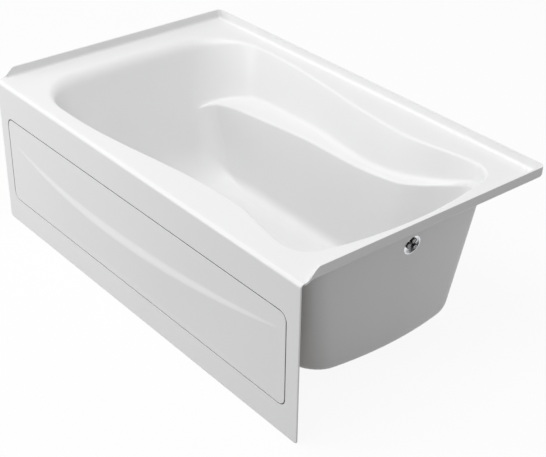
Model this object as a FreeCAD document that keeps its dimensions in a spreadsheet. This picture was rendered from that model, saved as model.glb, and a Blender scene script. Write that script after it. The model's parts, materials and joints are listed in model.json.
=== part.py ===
import FreeCAD, Part
import math
import os

import Sketcher
from FreeCAD import Placement, Rotation, Vector

# An alcove bathtub with its drain at the right-hand end, seen from the apron side.
# Millimetres, +Z up, +X from the backrest to the drain, +Y from the apron to the wall.
# The origin lies on the floor under the middle of the tub.

doc = FreeCAD.newDocument("AlcoveBathtub")
sheet = doc.addObject("Spreadsheet::Sheet", "Sizes")

driving_sizes = {
    # the moulded shell
    "tub_length": 1524,
    "tub_depth": 914,
    "deck_height": 508,
    "shell_wall": 6,
    "flange_rise": 32,
    "flange_front_setback": 60,
    "flange_front_foot": 30,
    "deck_cove": 10,
    "apron_top_round": 12,
    "apron_corner": 12,
    # the basin's rim, as a plan outline
    "backrest_deck": 112,
    "drain_deck": 56,
    "seat_half_width": 392,
    "seat_widest_from_left": 378,
    "waist_half_width": 324,
    "waist_from_right": 437,
    "drain_half_width": 360,
    "drain_widest_from_right": 162,
    "rim_left_corner": 170,
    "rim_right_corner": 60,
    "backrest_bow_radius": 3000,
    "drain_bow_radius": 1220,
    "rim_round": 13,
    "rim_round_backrest": 34,
    # slopes of the basin walls, in millimetres inwards per millimetre down
    "backrest_lean": 0.452,
    "drain_end_lean": 0.135,
    "upper_side_lean": 0.27,
    "lower_side_lean": 0.08,
    "lower_side_lean_at_drain": 0.075,
    # armrest ledges along both sides
    "armrest_height": 345,
    "armrest_tip_from_left": 430,
    "armrest_tip_run": 230,
    "armrest_tip_drop": 45,
    "armrest_rise_from_right": 624,
    "armrest_rise_radius": 980,
    "armrest_below_deck": 20,
    "armrest_cove": 14,
    "armrest_crest": 12,
    # the seat below the armrests
    "bottom_half_width": 221,
    "bottom_half_width_at_drain": 290,
    "bottom_flare_from_right": 394,
    "bottom_flare_run": 270,
    "bottom_narrowing": 14,
    "bottom_narrowing_from_tip": 130,
    "bottom_narrowing_run": 300,
    "lower_corner_at_floor": 90,
    "lower_corner_at_armrest": 60,
    "floor_round": 38,
    "backrest_foot_round": 130,
    "backrest_foot_inset": 110,
    "side_margin": 54,
    "armrest_fade": 25,
    "floor_height_at_drain": 52,
    "floor_fall": 10,
    "floor_fall_run": 928,
    # drain and overflow
    "drain_from_right": 234,
    "drain_well_radius": 43,
    "drain_well_depth": 3,
    "drain_thread_radius": 23.9,
    "drain_hole_clearance": 1.1,
    "drain_tail_radius": 19.05,
    "drain_tail_length": 18,
    "drain_bore_radius": 16.5,
    "drain_flange_radius": 37,
    "drain_flange_thickness": 2.5,
    "drain_seal_thickness": 1,
    "drain_gasket_thickness": 4,
    "drain_nut_thickness": 8,
    "drain_nut_radius": 35,
    "strainer_bar": 4,
    "strainer_hub_radius": 7,
    "cartridge_radius": 4,
    "cartridge_height": 22,
    "stopper_radius": 27,
    "stopper_cap_thickness": 4,
    "stopper_sleeve_wall": 2,
    "stopper_seal_thickness": 2.5,
    "overflow_below_deck": 87,
    "overflow_hole_radius": 30,
    "overflow_plate_radius": 39,
    "overflow_plate_thickness": 5,
    "overflow_gasket_thickness": 3,
    "overflow_bridge_wall": 2.5,
    "overflow_bridge_depth": 9,
    "overflow_post_radius": 9,
    "overflow_post_bore": 5.5,
    "overflow_post_length": 13,
    "overflow_screw_radius": 4.5,
    "overflow_screw_head": 3,
    "overflow_top_post_up": 17,
    "overflow_front_post_up": 7,
    "overflow_front_post_out": 17,
    "overflow_back_post_down": 7,
    "overflow_back_post_out": 9,
    "overflow_web_below_axis": 12,
    # the access panel in the apron
    "panel_left": 51,
    "panel_right": 54,
    "panel_bottom": 95,
    "panel_top": 390,
    "panel_corner": 25,
    "panel_gap": 3.5,
    "panel_sheet": 4,
    "panel_edge_wall": 5,
    "panel_edge_depth": 13,
    "panel_relief": 6,
    "panel_shelf_fall": 22,
    "panel_shelf_height": 264,
    "panel_shelf_left_height": 320,
    "panel_shelf_right_height": 345,
    "panel_shelf_middle_from_left": 560,
    "lip_width": 28,
    "lip_seat_gap": 0.3,
    "stiffener_height": 38,
    "stiffener_thickness": 8,
    "stiffener_margin": 60,
    "stud_radius": 3,
    "stud_foot_thickness": 2,
    "clip_clearance": 0.2,
    "clip_width": 12,
    "clip_tail": 6,
    "clip_columns": 3,
    # the carcass under the shell
    "board_thickness": 12,
    "board_from_left": 462,
    "board_from_right": 322,
    "board_half_width": 150,
    "laminate": 3,
    "laminate_flange": 14,
    "bearer_width": 60,
    "bearer_half_length": 190,
    "bearer_first_from_left": 500,
    "bearer_last_from_right": 350,
    "bearer_count": 3,
    "rail_thickness": 18,
    "head_rail_clearance": 21.25,
    "foot_rail_height": 70,
    "rail_from_left": 40,
    "rail_from_right": 62,
}

for row, (alias, number) in enumerate(driving_sizes.items(), 1):
    sheet.set(f"A{row}", alias)
    sheet.set(f"B{row}", str(number))
    sheet.setAlias(f"B{row}", alias)
doc.recompute()


def size(alias):
    return float(sheet.get(alias))


# ---------------------------------------------------------------- places worked out from the sizes

half_length = size("tub_length") / 2
left_end = -half_length
right_end = half_length
back_plane = size("tub_depth") / 2
apron_plane = -back_plane + size("panel_relief")
deck = size("deck_height")
wall = size("shell_wall")
deck_underside = deck - wall
drain_x = right_end - size("drain_from_right")
floor_slope = size("floor_fall") / size("floor_fall_run")


def floor_at(x):
    """Height of the basin floor, which falls towards the drain."""
    return size("floor_height_at_drain") + floor_slope * (drain_x - x)


def ease(t):
    """A smooth step from 0 to 1."""
    t = max(0.0, min(1.0, t))
    return t * t * (3 - 2 * t)


# ---------------------------------------------------------------- the basin's form

rim_left = left_end + size("backrest_deck")
rim_right = right_end - size("drain_deck")
seat_x = left_end + size("seat_widest_from_left")
waist_x = right_end - size("waist_from_right")
drain_wide_x = right_end - size("drain_widest_from_right")
tip_x = left_end + size("armrest_tip_from_left")
rise_x = right_end - size("armrest_rise_from_right")
flare_x = right_end - size("bottom_flare_from_right")
armrest_limit = deck - size("armrest_below_deck")

# How much farther a leaning wall of unit thickness reaches when it is measured level.
backrest_slant = math.hypot(1, size("backrest_lean"))
drain_end_slant = math.hypot(1, size("drain_end_lean"))
side_slant = math.hypot(1, size("upper_side_lean"))

# The outline is sampled at the same stations at every height, so that they join up:
# the ends by share of their width, the corners by angle, the sides at fixed places.
end_steps = 1
corner_steps = 3
side_steps = 5
basin_depth = deck - size("floor_height_at_drain")
foot_bend = size("lower_corner_at_floor") + size("side_margin")
side_from = rim_left + size("backrest_lean") * basin_depth + size("backrest_foot_inset") + foot_bend
side_to = rim_right - size("drain_end_lean") * basin_depth - size("floor_round") - foot_bend
stations = [("left end", k / end_steps) for k in range(end_steps)]
stations += [("left corner", k / corner_steps) for k in range(corner_steps + 1)]
stations += [("side", k / side_steps) for k in range(side_steps + 1)]
stations += [("right corner", k / corner_steps) for k in range(corner_steps + 1)]
stations += [("right end", (k + 1) / end_steps) for k in range(end_steps)]


def rim_half_width(x):
    """The rim narrows to a waist between the seat and the drain end."""
    if x < waist_x:
        share = ease((x - seat_x) / (waist_x - seat_x))
        return size("seat_half_width") + (size("waist_half_width") - size("seat_half_width")) * share
    share = ease((x - waist_x) / (drain_wide_x - waist_x))
    return size("waist_half_width") + (size("drain_half_width") - size("waist_half_width")) * share


def bottom_half_width(x, z):
    """Below the armrests the sides are steeper, and flare out at the drain end."""
    flare = ease((x - flare_x) / size("bottom_flare_run"))
    narrow_x = tip_x + size("bottom_narrowing_from_tip")
    narrowing = size("bottom_narrowing") * ease((narrow_x - x) / size("bottom_narrowing_run"))
    base = size("bottom_half_width") - narrowing
    base += (size("bottom_half_width_at_drain") - size("bottom_half_width")) * flare
    lean = size("lower_side_lean")
    lean += (size("lower_side_lean_at_drain") - size("lower_side_lean")) * flare
    return base + lean * (z - size("floor_height_at_drain") - size("floor_round"))


def armrest_at(x):
    """Height of the armrest: it dips at its tip and sweeps up to the deck at the drain end."""
    z = size("armrest_height")
    if x < tip_x:
        z -= size("armrest_tip_drop") * min(1.0, (tip_x - x) / size("armrest_tip_run")) ** 2
    if x > rise_x:
        radius = size("armrest_rise_radius")
        run = min(x - rise_x, 0.9 * radius)
        z += radius - math.sqrt(radius**2 - run**2)
    return min(z, armrest_limit)


def corner_point(side, end_x, radius, bow, half_width, share):
    """A point on a corner arc that is tangent to the bowed end and to the side curve."""
    lean = 0.0
    x = end_x - side * radius
    for _ in range(4):
        lean = side * math.atan((half_width(x + 1) - half_width(x - 1)) / 2)
        x = end_x - side * (radius * (1 + math.sin(lean)) + half_width(x) ** 2 / (2 * bow))
    centre_y = half_width(x) - radius * math.cos(lean)
    angle = (math.pi / 2 + lean) * share
    y = centre_y + radius * math.sin(angle)
    return Vector(end_x - side * (radius * (1 - math.cos(angle)) + y * y / (2 * bow)), y, 0)


def outline_point(station, half_width, left_x, right_x, left_radius, right_radius):
    """Station of a level outline that has bowed ends, round corners and curved sides."""
    part, share = stations[station]
    left_bow = size("backrest_bow_radius")
    right_bow = size("drain_bow_radius")
    if part == "left end":
        y = corner_point(-1, left_x, left_radius, left_bow, half_width, 0).y * share
        return Vector(left_x + y * y / (2 * left_bow), y, 0)
    if part == "left corner":
        return corner_point(-1, left_x, left_radius, left_bow, half_width, share)
    if part == "side":
        x = side_from + (side_to - side_from) * share
        return Vector(x, half_width(x), 0)
    if part == "right corner":
        return corner_point(1, right_x, right_radius, right_bow, half_width, 1 - share)
    y = corner_point(1, right_x, right_radius, right_bow, half_width, 0).y * (1 - share)
    return Vector(right_x - y * y / (2 * right_bow), y, 0)


def upper_point(station, z, grow=0.0, out=0.0):
    """On the wall above the armrest, widened all round by grow, or outside it by a thickness, out."""
    down = deck - z
    point = outline_point(
        station,
        lambda x: rim_half_width(x) - size("upper_side_lean") * down + grow + out * side_slant,
        rim_left + size("backrest_lean") * down - grow - out * backrest_slant,
        rim_right - size("drain_end_lean") * down + grow + out * drain_end_slant,
        size("rim_left_corner") + grow + out,
        size("rim_right_corner") + grow + out,
    )
    point.z = z
    return point


def lower_point(station, z, out=0.0, side_inset=0.0, foot_inset=0.0):
    """On the wall below the armrest, outside it by a thickness, or inside it by the insets."""
    down = deck - z
    floor_z = size("floor_height_at_drain")
    share = max(0.0, min(1.0, (z - floor_z) / (size("armrest_height") - floor_z)))
    at_floor = size("lower_corner_at_floor")
    radius = at_floor + (size("lower_corner_at_armrest") - at_floor) * share
    radius += out - 0.3 * side_inset
    point = outline_point(
        station,
        lambda x: bottom_half_width(x, z) - side_inset + out,
        rim_left + size("backrest_lean") * down + foot_inset - out * backrest_slant,
        rim_right - size("drain_end_lean") * down - side_inset + out * drain_end_slant,
        radius,
        radius,
    )
    point.z = z
    return point


def settled(height_at, point_at, z):
    """The height at which a sloping ledge or floor meets the wall at one station."""
    for _ in range(5):
        z = height_at(point_at(z).x)
    return z


def middle_of_bend(start, corner, end):
    """The middle of the parabola that rounds a corner."""
    return (start + corner * 2 + end) * 0.25


def between(start, end, share):
    return start + (end - start) * share


def backrest_share(station):
    """1 across the backrest, 0 along the sides and at the drain end."""
    part, share = stations[station]
    if part == "left end":
        return 1.0
    return 1 - ease(share) if part == "left corner" else 0.0


def basin_key_points(station, out=0.0):
    """The corners of the basin's section at one station, on its inside or a thickness outside."""

    def upper(z):
        return upper_point(station, z, out=out)

    def lower(z, **inset):
        return lower_point(station, z, out, **inset)

    def armrest(x):
        return armrest_at(x) - out

    def floor(x):
        return floor_at(x) - out

    armrest_z = settled(armrest, upper, size("armrest_height"))
    crest_z = settled(armrest, lower, armrest_z)
    floor_z = settled(floor, lower, floor_at(drain_x))
    back = backrest_share(station)
    foot = between(size("floor_round"), size("backrest_foot_round"), back)
    cove = min(size("armrest_cove"), 0.45 * (deck - armrest_z))
    floor_edge = lower(floor_z, side_inset=size("floor_round"), foot_inset=size("backrest_foot_inset"))
    floor_edge.z = floor(floor_edge.x)
    rim_round = between(size("rim_round"), size("rim_round_backrest"), back)
    on_deck = upper_point(station, deck, rim_round)
    on_deck.z = deck - out
    rim_corner = upper(deck - out)
    rim_end = upper(deck - min(rim_round, 0.5 * (deck - armrest_z - cove)))
    return {
        "on deck": on_deck,
        "rim middle": middle_of_bend(on_deck, rim_corner, rim_end),
        "rim end": rim_end,
        "cove corner": upper(armrest_z),
        "crest corner": lower(crest_z),
        "floor corner": lower(floor_z),
        "floor edge": floor_edge,
        "wall end": upper(armrest_z + cove),
        "crest end": lower(crest_z - size("armrest_crest")),
        "foot start": lower(floor_z + foot),
        "cove": cove,
    }


def armrest_points(points):
    """The armrest's section. It dies out where the two walls run into one."""
    wall_end = points["wall end"]
    crest_end = points["crest end"]
    cove_corner = points["cove corner"]
    crest_corner = points["crest corner"]
    width = max((crest_corner - cove_corner).Length, 0.01)
    flat_from = between(cove_corner, crest_corner, min(points["cove"] / width, 0.4))
    flat_to = between(crest_corner, cove_corner, min(size("armrest_crest") / width, 0.4))
    ledge = [
        middle_of_bend(wall_end, cove_corner, flat_from),
        flat_from,
        flat_to,
        middle_of_bend(flat_to, crest_corner, crest_end),
    ]
    share = ease(width / size("armrest_fade"))
    steps = len(ledge) + 1
    plain = [between(wall_end, crest_end, (k + 1) / steps) for k in range(len(ledge))]
    return [between(a, b, share) for a, b in zip(plain, ledge)]


def foot_points(points):
    """Where the wall turns into the floor."""
    foot_start = points["foot start"]
    floor_edge = points["floor edge"]
    return [foot_start, middle_of_bend(foot_start, points["floor corner"], floor_edge), floor_edge]


def basin_section(points, top):
    """The basin's section as a row of points, from a height above the rim down to the floor."""
    on_deck = points["on deck"]
    rim_end = points["rim end"]
    wall_end = points["wall end"]
    crest_end = points["crest end"]
    rim = [Vector(on_deck.x, on_deck.y, top), on_deck, points["rim middle"], rim_end]
    rim += [between(rim_end, wall_end, 0.5), wall_end]
    wall_steps = [between(crest_end, points["foot start"], share) for share in (0.25, 0.5, 0.75)]
    return rim + armrest_points(points) + [crest_end] + wall_steps + foot_points(points)


def basin_void_section(station):
    """Inside of the basin, from above the deck down."""
    return basin_section(basin_key_points(station), deck + size("flange_rise"))


def basin_skin_section(station):
    """Outside of the basin, from within the deck down."""
    return basin_section(basin_key_points(station, wall), deck - wall / 2)


def all_round(section):
    """Sections on every station of one half, then mirrored for the other."""
    half = [section(k) for k in range(len(stations))]
    mirrored = [[Vector(p.x, -p.y, p.z) for p in column] for column in half[-2:0:-1]]
    return half + mirrored


def banded_solid(columns):
    """A closed solid of ruled bands between smooth outlines, one outline for each row."""
    count = len(columns)
    half_cuts = [end_steps, end_steps + corner_steps]
    half_cuts.append(half_cuts[-1] + side_steps + 2)
    half_cuts.append(half_cuts[-1] + corner_steps)
    cuts = half_cuts + [count - k for k in reversed(half_cuts)]
    spans = list(zip(cuts, cuts[1:] + [cuts[0] + count]))

    def outline(row):
        curves = []
        for first, last in spans:
            points = [columns[k % count][row] for k in range(first, last + 1)]
            start = columns[(first + 1) % count][row] - columns[(first - 1) % count][row]
            end = columns[(last + 1) % count][row] - columns[(last - 1) % count][row]
            start.normalize()
            end.normalize()
            curve = Part.BSplineCurve()
            curve.interpolate(
                Points=points,
                Parameters=[float(k) for k in range(len(points))],
                InitialTangent=start * (points[1] - points[0]).Length,
                FinalTangent=end * (points[-1] - points[-2]).Length,
                Scale=False,
            )
            curves.append(curve)
        return curves

    rows = [outline(row) for row in range(len(columns[0]))]
    faces = []
    for upper_row, lower_row in zip(rows, rows[1:]):
        for above, below in zip(upper_row, lower_row):
            band = Part.BSplineSurface()
            band.buildFromPolesMultsKnots(
                [list(pair) for pair in zip(above.getPoles(), below.getPoles())],
                above.getMultiplicities(),
                [2, 2],
                above.getKnots(),
                [0.0, 1.0],
                False,
                False,
                above.Degree,
                1,
            )
            faces.append(band.toShape())
    for row in (rows[0], rows[-1]):
        faces.append(Part.Face(Part.Wire([curve.toShape() for curve in row])))
    solid = Part.Solid(Part.Shell(faces))
    if solid.Volume < 0:
        solid.reverse()
    return solid


# ---------------------------------------------------------------- helpers for the document

kept = []


def bind(thing, **expressions):
    for name, expression in expressions.items():
        thing.setExpression(name.replace("__", "."), str(expression))


def place(thing, x="0", y="0", z="0"):
    for axis, expression in (("x", x), ("y", y), ("z", z)):
        thing.setExpression(f".Placement.Base.{axis}", str(expression))


def keep(thing, label):
    thing.Label = label
    kept.append(thing)
    return thing


def box(name, length, width, height, x, y, z):
    thing = doc.addObject("Part::Box", name)
    bind(thing, Length=length, Width=width, Height=height)
    place(thing, x, y, z)
    return thing


def cylinder(name, radius, height, x="0", y="0", z="0"):
    thing = doc.addObject("Part::Cylinder", name)
    bind(thing, Radius=radius, Height=height)
    place(thing, x, y, z)
    return thing


def fused(name, parts):
    thing = doc.addObject("Part::MultiFuse", name)
    thing.Shapes = parts
    thing.Refine = True
    return thing


def cut(name, base, tool):
    thing = doc.addObject("Part::Cut", name)
    thing.Base = base
    thing.Tool = tool
    return thing


def grouped(name, parts):
    thing = doc.addObject("Part::Compound", name)
    thing.Links = parts
    return thing


def plane_of(body, role):
    return next(f for f in body.Origin.OriginFeatures if f.Role == role)


def outlined_sketch(body, name, role, corners):
    """A closed outline of straight lines. Each corner is a pair of expressions."""
    sketch = body.newObject("Sketcher::SketchObject", name)
    sketch.AttachmentSupport = (plane_of(body, role), "")
    sketch.MapMode = "FlatFace"
    evaluate = [(doc_value(u), doc_value(v)) for u, v in corners]
    count = len(corners)
    for k in range(count):
        start = Vector(*evaluate[k], 0)
        end = Vector(*evaluate[(k + 1) % count], 0)
        sketch.addGeometry(Part.LineSegment(start, end), False)
    for k in range(count):
        sketch.addConstraint(Sketcher.Constraint("Coincident", k, 2, (k + 1) % count, 1))
    for k, (u, v) in enumerate(corners):
        for kind, axis, expression, value in (
            ("DistanceX", -2, u, evaluate[k][0]),
            ("DistanceY", -1, v, evaluate[k][1]),
        ):
            if expression == "0":
                sketch.addConstraint(Sketcher.Constraint("PointOnObject", k, 1, axis))
                continue
            index = sketch.addConstraint(Sketcher.Constraint(kind, k, 1, value))
            sketch.setExpression(f"Constraints[{index}]", expression)
    return sketch


def doc_value(expression):
    """The number that an expression of sheet cells stands for."""
    return float(sheet.evalExpression(expression.replace("Sizes.", "")))


def turned(name, profile):
    """A revolved body. The profile's corners are (radius, height) expressions."""
    body = doc.addObject("PartDesign::Body", name)
    sketch = outlined_sketch(body, name + "Profile", "XZ_Plane", profile)
    revolution = body.newObject("PartDesign::Revolution", name + "Turn")
    revolution.Profile = sketch
    revolution.ReferenceAxis = (sketch, ["V_Axis"])
    revolution.Angle = 360
    return body


def prism(name, role, corners, length):
    """A padded body, centred on its sketch plane."""
    body = doc.addObject("PartDesign::Body", name)
    sketch = outlined_sketch(body, name + "Profile", role, corners)
    pad = body.newObject("PartDesign::Pad", name + "Pad")
    pad.Profile = sketch
    pad.Midplane = True
    pad.setExpression("Length", length)
    return body


def edges_where(shape, test):
    return [k for k, edge in enumerate(shape.Edges, 1) if test(edge)]


def rounded(name, base, groups):
    """Fillets on chosen edges. Each group is a test for the edges and a size's name."""
    doc.recompute()
    thing = doc.addObject("Part::Fillet", name)
    thing.Base = base
    chosen = []
    for test, alias in groups:
        chosen += [(k, size(alias), size(alias)) for k in edges_where(base.Shape, test)]
    thing.Edges = chosen
    return thing


def near(a, b):
    return abs(a - b) < 0.01


def runs_along(edge, axis):
    ends = [vertex.Point for vertex in edge.Vertexes]
    if len(ends) != 2:
        return False
    run = ends[1] - ends[0]
    return near(abs(run[axis]), run.Length)


# ---------------------------------------------------------------- tub_shell: deck, flange, apron

half_l = "Sizes.tub_length/2"
half_d = "Sizes.tub_depth/2"
apron_y = "(Sizes.panel_relief-Sizes.tub_depth/2)"
inner_depth = "(Sizes.tub_depth-Sizes.panel_relief)"
deck_bottom = "(Sizes.deck_height-Sizes.shell_wall)"

deck_plate = box(
    "DeckPlate", "Sizes.tub_length", inner_depth, "Sizes.shell_wall", f"-{half_l}", apron_y, deck_bottom
)
apron = box(
    "Apron", "Sizes.tub_length", "Sizes.shell_wall", "Sizes.deck_height", f"-{half_l}", apron_y, "0"
)
back_flange = box(
    "BackFlange",
    "Sizes.tub_length",
    "Sizes.shell_wall",
    "Sizes.flange_rise+Sizes.shell_wall",
    f"-{half_l}",
    f"{half_d}-Sizes.shell_wall",
    deck_bottom,
)


def side_flange(name, x):
    """The upstand at one end, which slopes down to the deck at its front."""
    thing = prism(
        name,
        "YZ_Plane",
        [
            ("Sizes.flange_front_foot", "0"),
            ("Sizes.flange_front_foot", "Sizes.shell_wall"),
            ("Sizes.flange_front_setback", "Sizes.shell_wall+Sizes.flange_rise"),
            (inner_depth, "Sizes.shell_wall+Sizes.flange_rise"),
            (inner_depth, "0"),
        ],
        "Sizes.shell_wall",
    )
    place(thing, x, apron_y, deck_bottom)
    return thing


left_flange = side_flange("LeftFlange", f"Sizes.shell_wall/2-{half_l}")
right_flange = side_flange("RightFlange", f"{half_l}-Sizes.shell_wall/2")
sheet_work = fused("DeckFlangeAndApron", [deck_plate, apron, back_flange, left_flange, right_flange])


def is_cove(edge):
    """Where the flange rises from the deck, on the basin's side."""
    box_ = edge.BoundBox
    if not (near(box_.ZMin, deck) and near(box_.ZMax, deck)):
        return False
    at_back = near(box_.YMin, back_plane - wall) and near(box_.YMax, back_plane - wall)
    at_side = near(abs(box_.XMin), half_length - wall) and near(abs(box_.XMax), half_length - wall)
    return at_back or at_side


def is_apron_top(edge):
    middle = edge.CenterOfMass
    return runs_along(edge, 0) and near(middle.y, apron_plane) and near(middle.z, deck)


def is_apron_corner(edge):
    middle = edge.CenterOfMass
    return runs_along(edge, 1) and near(abs(middle.x), half_length) and near(middle.z, 0)


soft_sheet = rounded(
    "SoftDeckFlangeAndApron",
    sheet_work,
    [(is_apron_top, "apron_top_round"), (is_cove, "deck_cove"), (is_apron_corner, "apron_corner")],
)

# ---------------------------------------------------------------- tub_shell: the basin

basin_void = doc.addObject("Part::Feature", "BasinVoid")
basin_void.Shape = banded_solid(all_round(basin_void_section))
basin_skin = doc.addObject("Part::Feature", "BasinSkin")
basin_skin.Shape = banded_solid(all_round(basin_skin_section))

# ---------------------------------------------------------------- tub_shell: openings

drain_place = f"({half_l}-Sizes.drain_from_right)"
well_floor = "(Sizes.floor_height_at_drain-Sizes.drain_well_depth)"
well_skin = cylinder(
    "DrainWellSkin",
    "Sizes.drain_well_radius+Sizes.shell_wall",
    "Sizes.shell_wall+Sizes.drain_well_depth/2",
    drain_place,
    "0",
    f"{well_floor}-Sizes.shell_wall",
)
well_void = cylinder(
    "DrainWellVoid", "Sizes.drain_well_radius", "2*Sizes.drain_well_depth", drain_place, "0", well_floor
)
drain_hole = cylinder(
    "DrainHole",
    "Sizes.drain_thread_radius+Sizes.drain_hole_clearance",
    "4*Sizes.shell_wall",
    drain_place,
    "0",
    f"{well_floor}-2*Sizes.shell_wall",
)

overflow_tilt = math.atan(size("drain_end_lean"))
overflow_drop = size("overflow_below_deck")
overflow_wall = Vector(rim_right - size("drain_end_lean") * overflow_drop, 0, deck - overflow_drop)
overflow_turn = Rotation(Vector(0, 1, 0), 90 + math.degrees(overflow_tilt))
overflow_place = Placement(overflow_wall, overflow_turn)


def along_overflow(distance):
    """A place on the overflow's axis, outwards from the inside of the end wall."""
    return Placement(overflow_place.multVec(Vector(0, 0, distance)), overflow_turn)


overflow_hole = doc.addObject("Part::Cylinder", "OverflowHole")
bind(overflow_hole, Radius="Sizes.overflow_hole_radius", Height="8*Sizes.shell_wall")
overflow_hole.Placement = along_overflow(-4 * wall)

panel_x = f"(Sizes.panel_left-{half_l})"
panel_length = "(Sizes.tub_length-Sizes.panel_left-Sizes.panel_right)"
panel_height = "(Sizes.panel_top-Sizes.panel_bottom)"


def soft_slab(name, grow, y, depth):
    """A slab of the panel's outline with round corners, grown all round."""
    slab = box(
        name + "Slab",
        f"{panel_length}+2*({grow})",
        depth,
        f"{panel_height}+2*({grow})",
        f"{panel_x}-({grow})",
        y,
        f"Sizes.panel_bottom-({grow})",
    )
    doc.recompute()
    thing = doc.addObject("Part::Fillet", name)
    thing.Base = slab
    radius = size("panel_corner") + doc_value(grow)
    thing.Edges = [(k, radius, radius) for k in edges_where(slab.Shape, lambda e: runs_along(e, 1))]
    return thing


lip_front = f"{apron_y}+Sizes.panel_edge_depth+Sizes.lip_seat_gap"
frame_block = soft_slab(
    "PanelFrame",
    "Sizes.panel_gap+Sizes.shell_wall",
    apron_y,
    "Sizes.panel_edge_depth+Sizes.lip_seat_gap+Sizes.shell_wall",
)
frame_recess = soft_slab(
    "PanelRecess",
    "Sizes.panel_gap",
    f"{apron_y}-Sizes.shell_wall",
    "Sizes.shell_wall+Sizes.panel_edge_depth+Sizes.lip_seat_gap",
)
frame_window = soft_slab(
    "PanelWindow", "Sizes.panel_gap-Sizes.lip_width", apron_y, "8*Sizes.shell_wall"
)

clip_rows = {
    "upper": "(Sizes.panel_top-(Sizes.panel_edge_wall-Sizes.panel_gap+Sizes.lip_width)/2)",
    "lower": "(Sizes.panel_bottom+(Sizes.panel_edge_wall-Sizes.panel_gap+Sizes.lip_width)/2)",
}
clip_count = int(size("clip_columns"))
clip_places = []
for column in range(clip_count):
    share = (column + 0.5) / clip_count
    for height in clip_rows.values():
        clip_places.append((f"{panel_x}+{panel_length}*{share}", height))

clip_bore = "(Sizes.stud_radius+Sizes.clip_clearance)"


def clip_block(name, grow, y, depth, x, z):
    """A square block on a clip's axis, grown all round."""
    side = f"Sizes.clip_width+2*({grow})"
    corner = f"(Sizes.clip_width/2+({grow}))"
    return box(name, side, depth, side, f"{x}-{corner}", y, f"{z}-{corner}")


def along_y(name, radius, length, x, y, z):
    """A cylinder whose axis points to the back."""
    thing = doc.addObject("Part::Cylinder", name)
    bind(thing, Radius=radius, Height=length)
    thing.Placement = Placement(Vector(), Rotation(Vector(1, 0, 0), -90))
    place(thing, x, y, z)
    return thing


clip_holes = []
for number, (x, z) in enumerate(clip_places, 1):
    clip_holes.append(
        clip_block(
            f"ClipHole{number}",
            "Sizes.clip_clearance",
            lip_front + "-Sizes.shell_wall",
            "4*Sizes.shell_wall",
            x,
            z,
        )
    )

moulding = fused("Moulding", [soft_sheet, frame_block, basin_skin, well_skin])
voids = fused(
    "Voids",
    [basin_void, well_void, drain_hole, overflow_hole, frame_recess, frame_window] + clip_holes,
)
keep(cut("TubShell", moulding, voids), "tub_shell")

# ---------------------------------------------------------------- access_panel

panel_solid = soft_slab("PanelOutline", "0", apron_y, "Sizes.panel_edge_depth")
panel_hollow = soft_slab(
    "PanelHollow", "-Sizes.panel_edge_wall", f"{apron_y}+Sizes.panel_sheet", "2*Sizes.panel_edge_depth"
)


def shelf_height(x):
    """The curved shelf across the panel is lowest near the middle and rises to both ends."""
    middle = left_end + size("panel_shelf_middle_from_left")
    end = left_end + size("panel_left")
    end_height = size("panel_shelf_left_height")
    if x > middle:
        end = right_end - size("panel_right")
        end_height = size("panel_shelf_right_height")
    lowest = size("panel_shelf_height")
    return lowest + (end_height - lowest) * ((x - middle) / (end - middle)) ** 2


def relief_solid(steps=8):
    """Below the shelf the panel stands forward, most in the middle and nothing at the ends."""
    first = left_end + size("panel_left") + size("panel_corner")
    last = right_end - size("panel_right") - size("panel_corner")
    bottom = size("panel_bottom") + size("panel_corner")
    sections = []
    for k in range(steps + 1):
        share = k / steps
        x = between(first, last, share)
        forward = 0.4 + (size("panel_relief") - 0.4) * math.sin(math.pi * share) ** 0.75
        top = shelf_height(x)
        fall = size("panel_shelf_fall") * (0.3 + 0.7 * math.sin(math.pi * share))
        corners = [
            Vector(x, apron_plane + 1, top),
            Vector(x, apron_plane, top),
            Vector(x, apron_plane - forward, top - fall),
            Vector(x, apron_plane, bottom),
            Vector(x, apron_plane + 1, bottom),
        ]
        sections.append(Part.makePolygon(corners + [corners[0]]))
    return Part.makeLoft(sections, True, True)


panel_relief = doc.addObject("Part::Feature", "PanelRelief")
panel_relief.Shape = relief_solid()
panel_shell = cut("PanelShell", panel_solid, panel_hollow)
keep(fused("AccessPanel", [panel_shell, panel_relief]), "access_panel")

stiffeners = []
stiffener_length = f"{panel_length}-2*Sizes.stiffener_margin"
for number, share in enumerate((0.3, 0.7), 1):
    stiffeners.append(
        box(
            f"Stiffener{number}",
            stiffener_length,
            "Sizes.stiffener_thickness",
            "Sizes.stiffener_height",
            f"{panel_x}+Sizes.stiffener_margin",
            f"{apron_y}+Sizes.panel_sheet",
            f"Sizes.panel_bottom+{panel_height}*{share}-Sizes.stiffener_height/2",
        )
    )
keep(grouped("PanelStiffeners", stiffeners), "panel_stiffeners")

stud_length = "(Sizes.panel_edge_depth+Sizes.lip_seat_gap-Sizes.panel_sheet+Sizes.shell_wall+Sizes.clip_tail)"
clip_length = "(Sizes.shell_wall+Sizes.clip_tail)"
panel_back = f"({apron_y}+Sizes.panel_sheet)"
studs = []
clips = []
for number, (x, z) in enumerate(clip_places, 1):
    foot = clip_block(f"StudFoot{number}", "0", panel_back, "Sizes.stud_foot_thickness", x, z)
    shank = along_y(f"StudShank{number}", "Sizes.stud_radius", stud_length, x, panel_back, z)
    studs.append(fused(f"PanelStud{number}", [foot, shank]))
    block = clip_block(f"ClipBlock{number}", "0", lip_front, clip_length, x, z)
    bore = along_y(f"ClipBore{number}", clip_bore, "4*Sizes.clip_tail", x, lip_front + "-Sizes.clip_tail", z)
    clips.append(cut(f"PanelClip{number}", block, bore))
keep(grouped("PanelStuds", studs), "panel_studs")
keep(grouped("PanelClips", clips), "panel_clips")

# ---------------------------------------------------------------- the carcass


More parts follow.
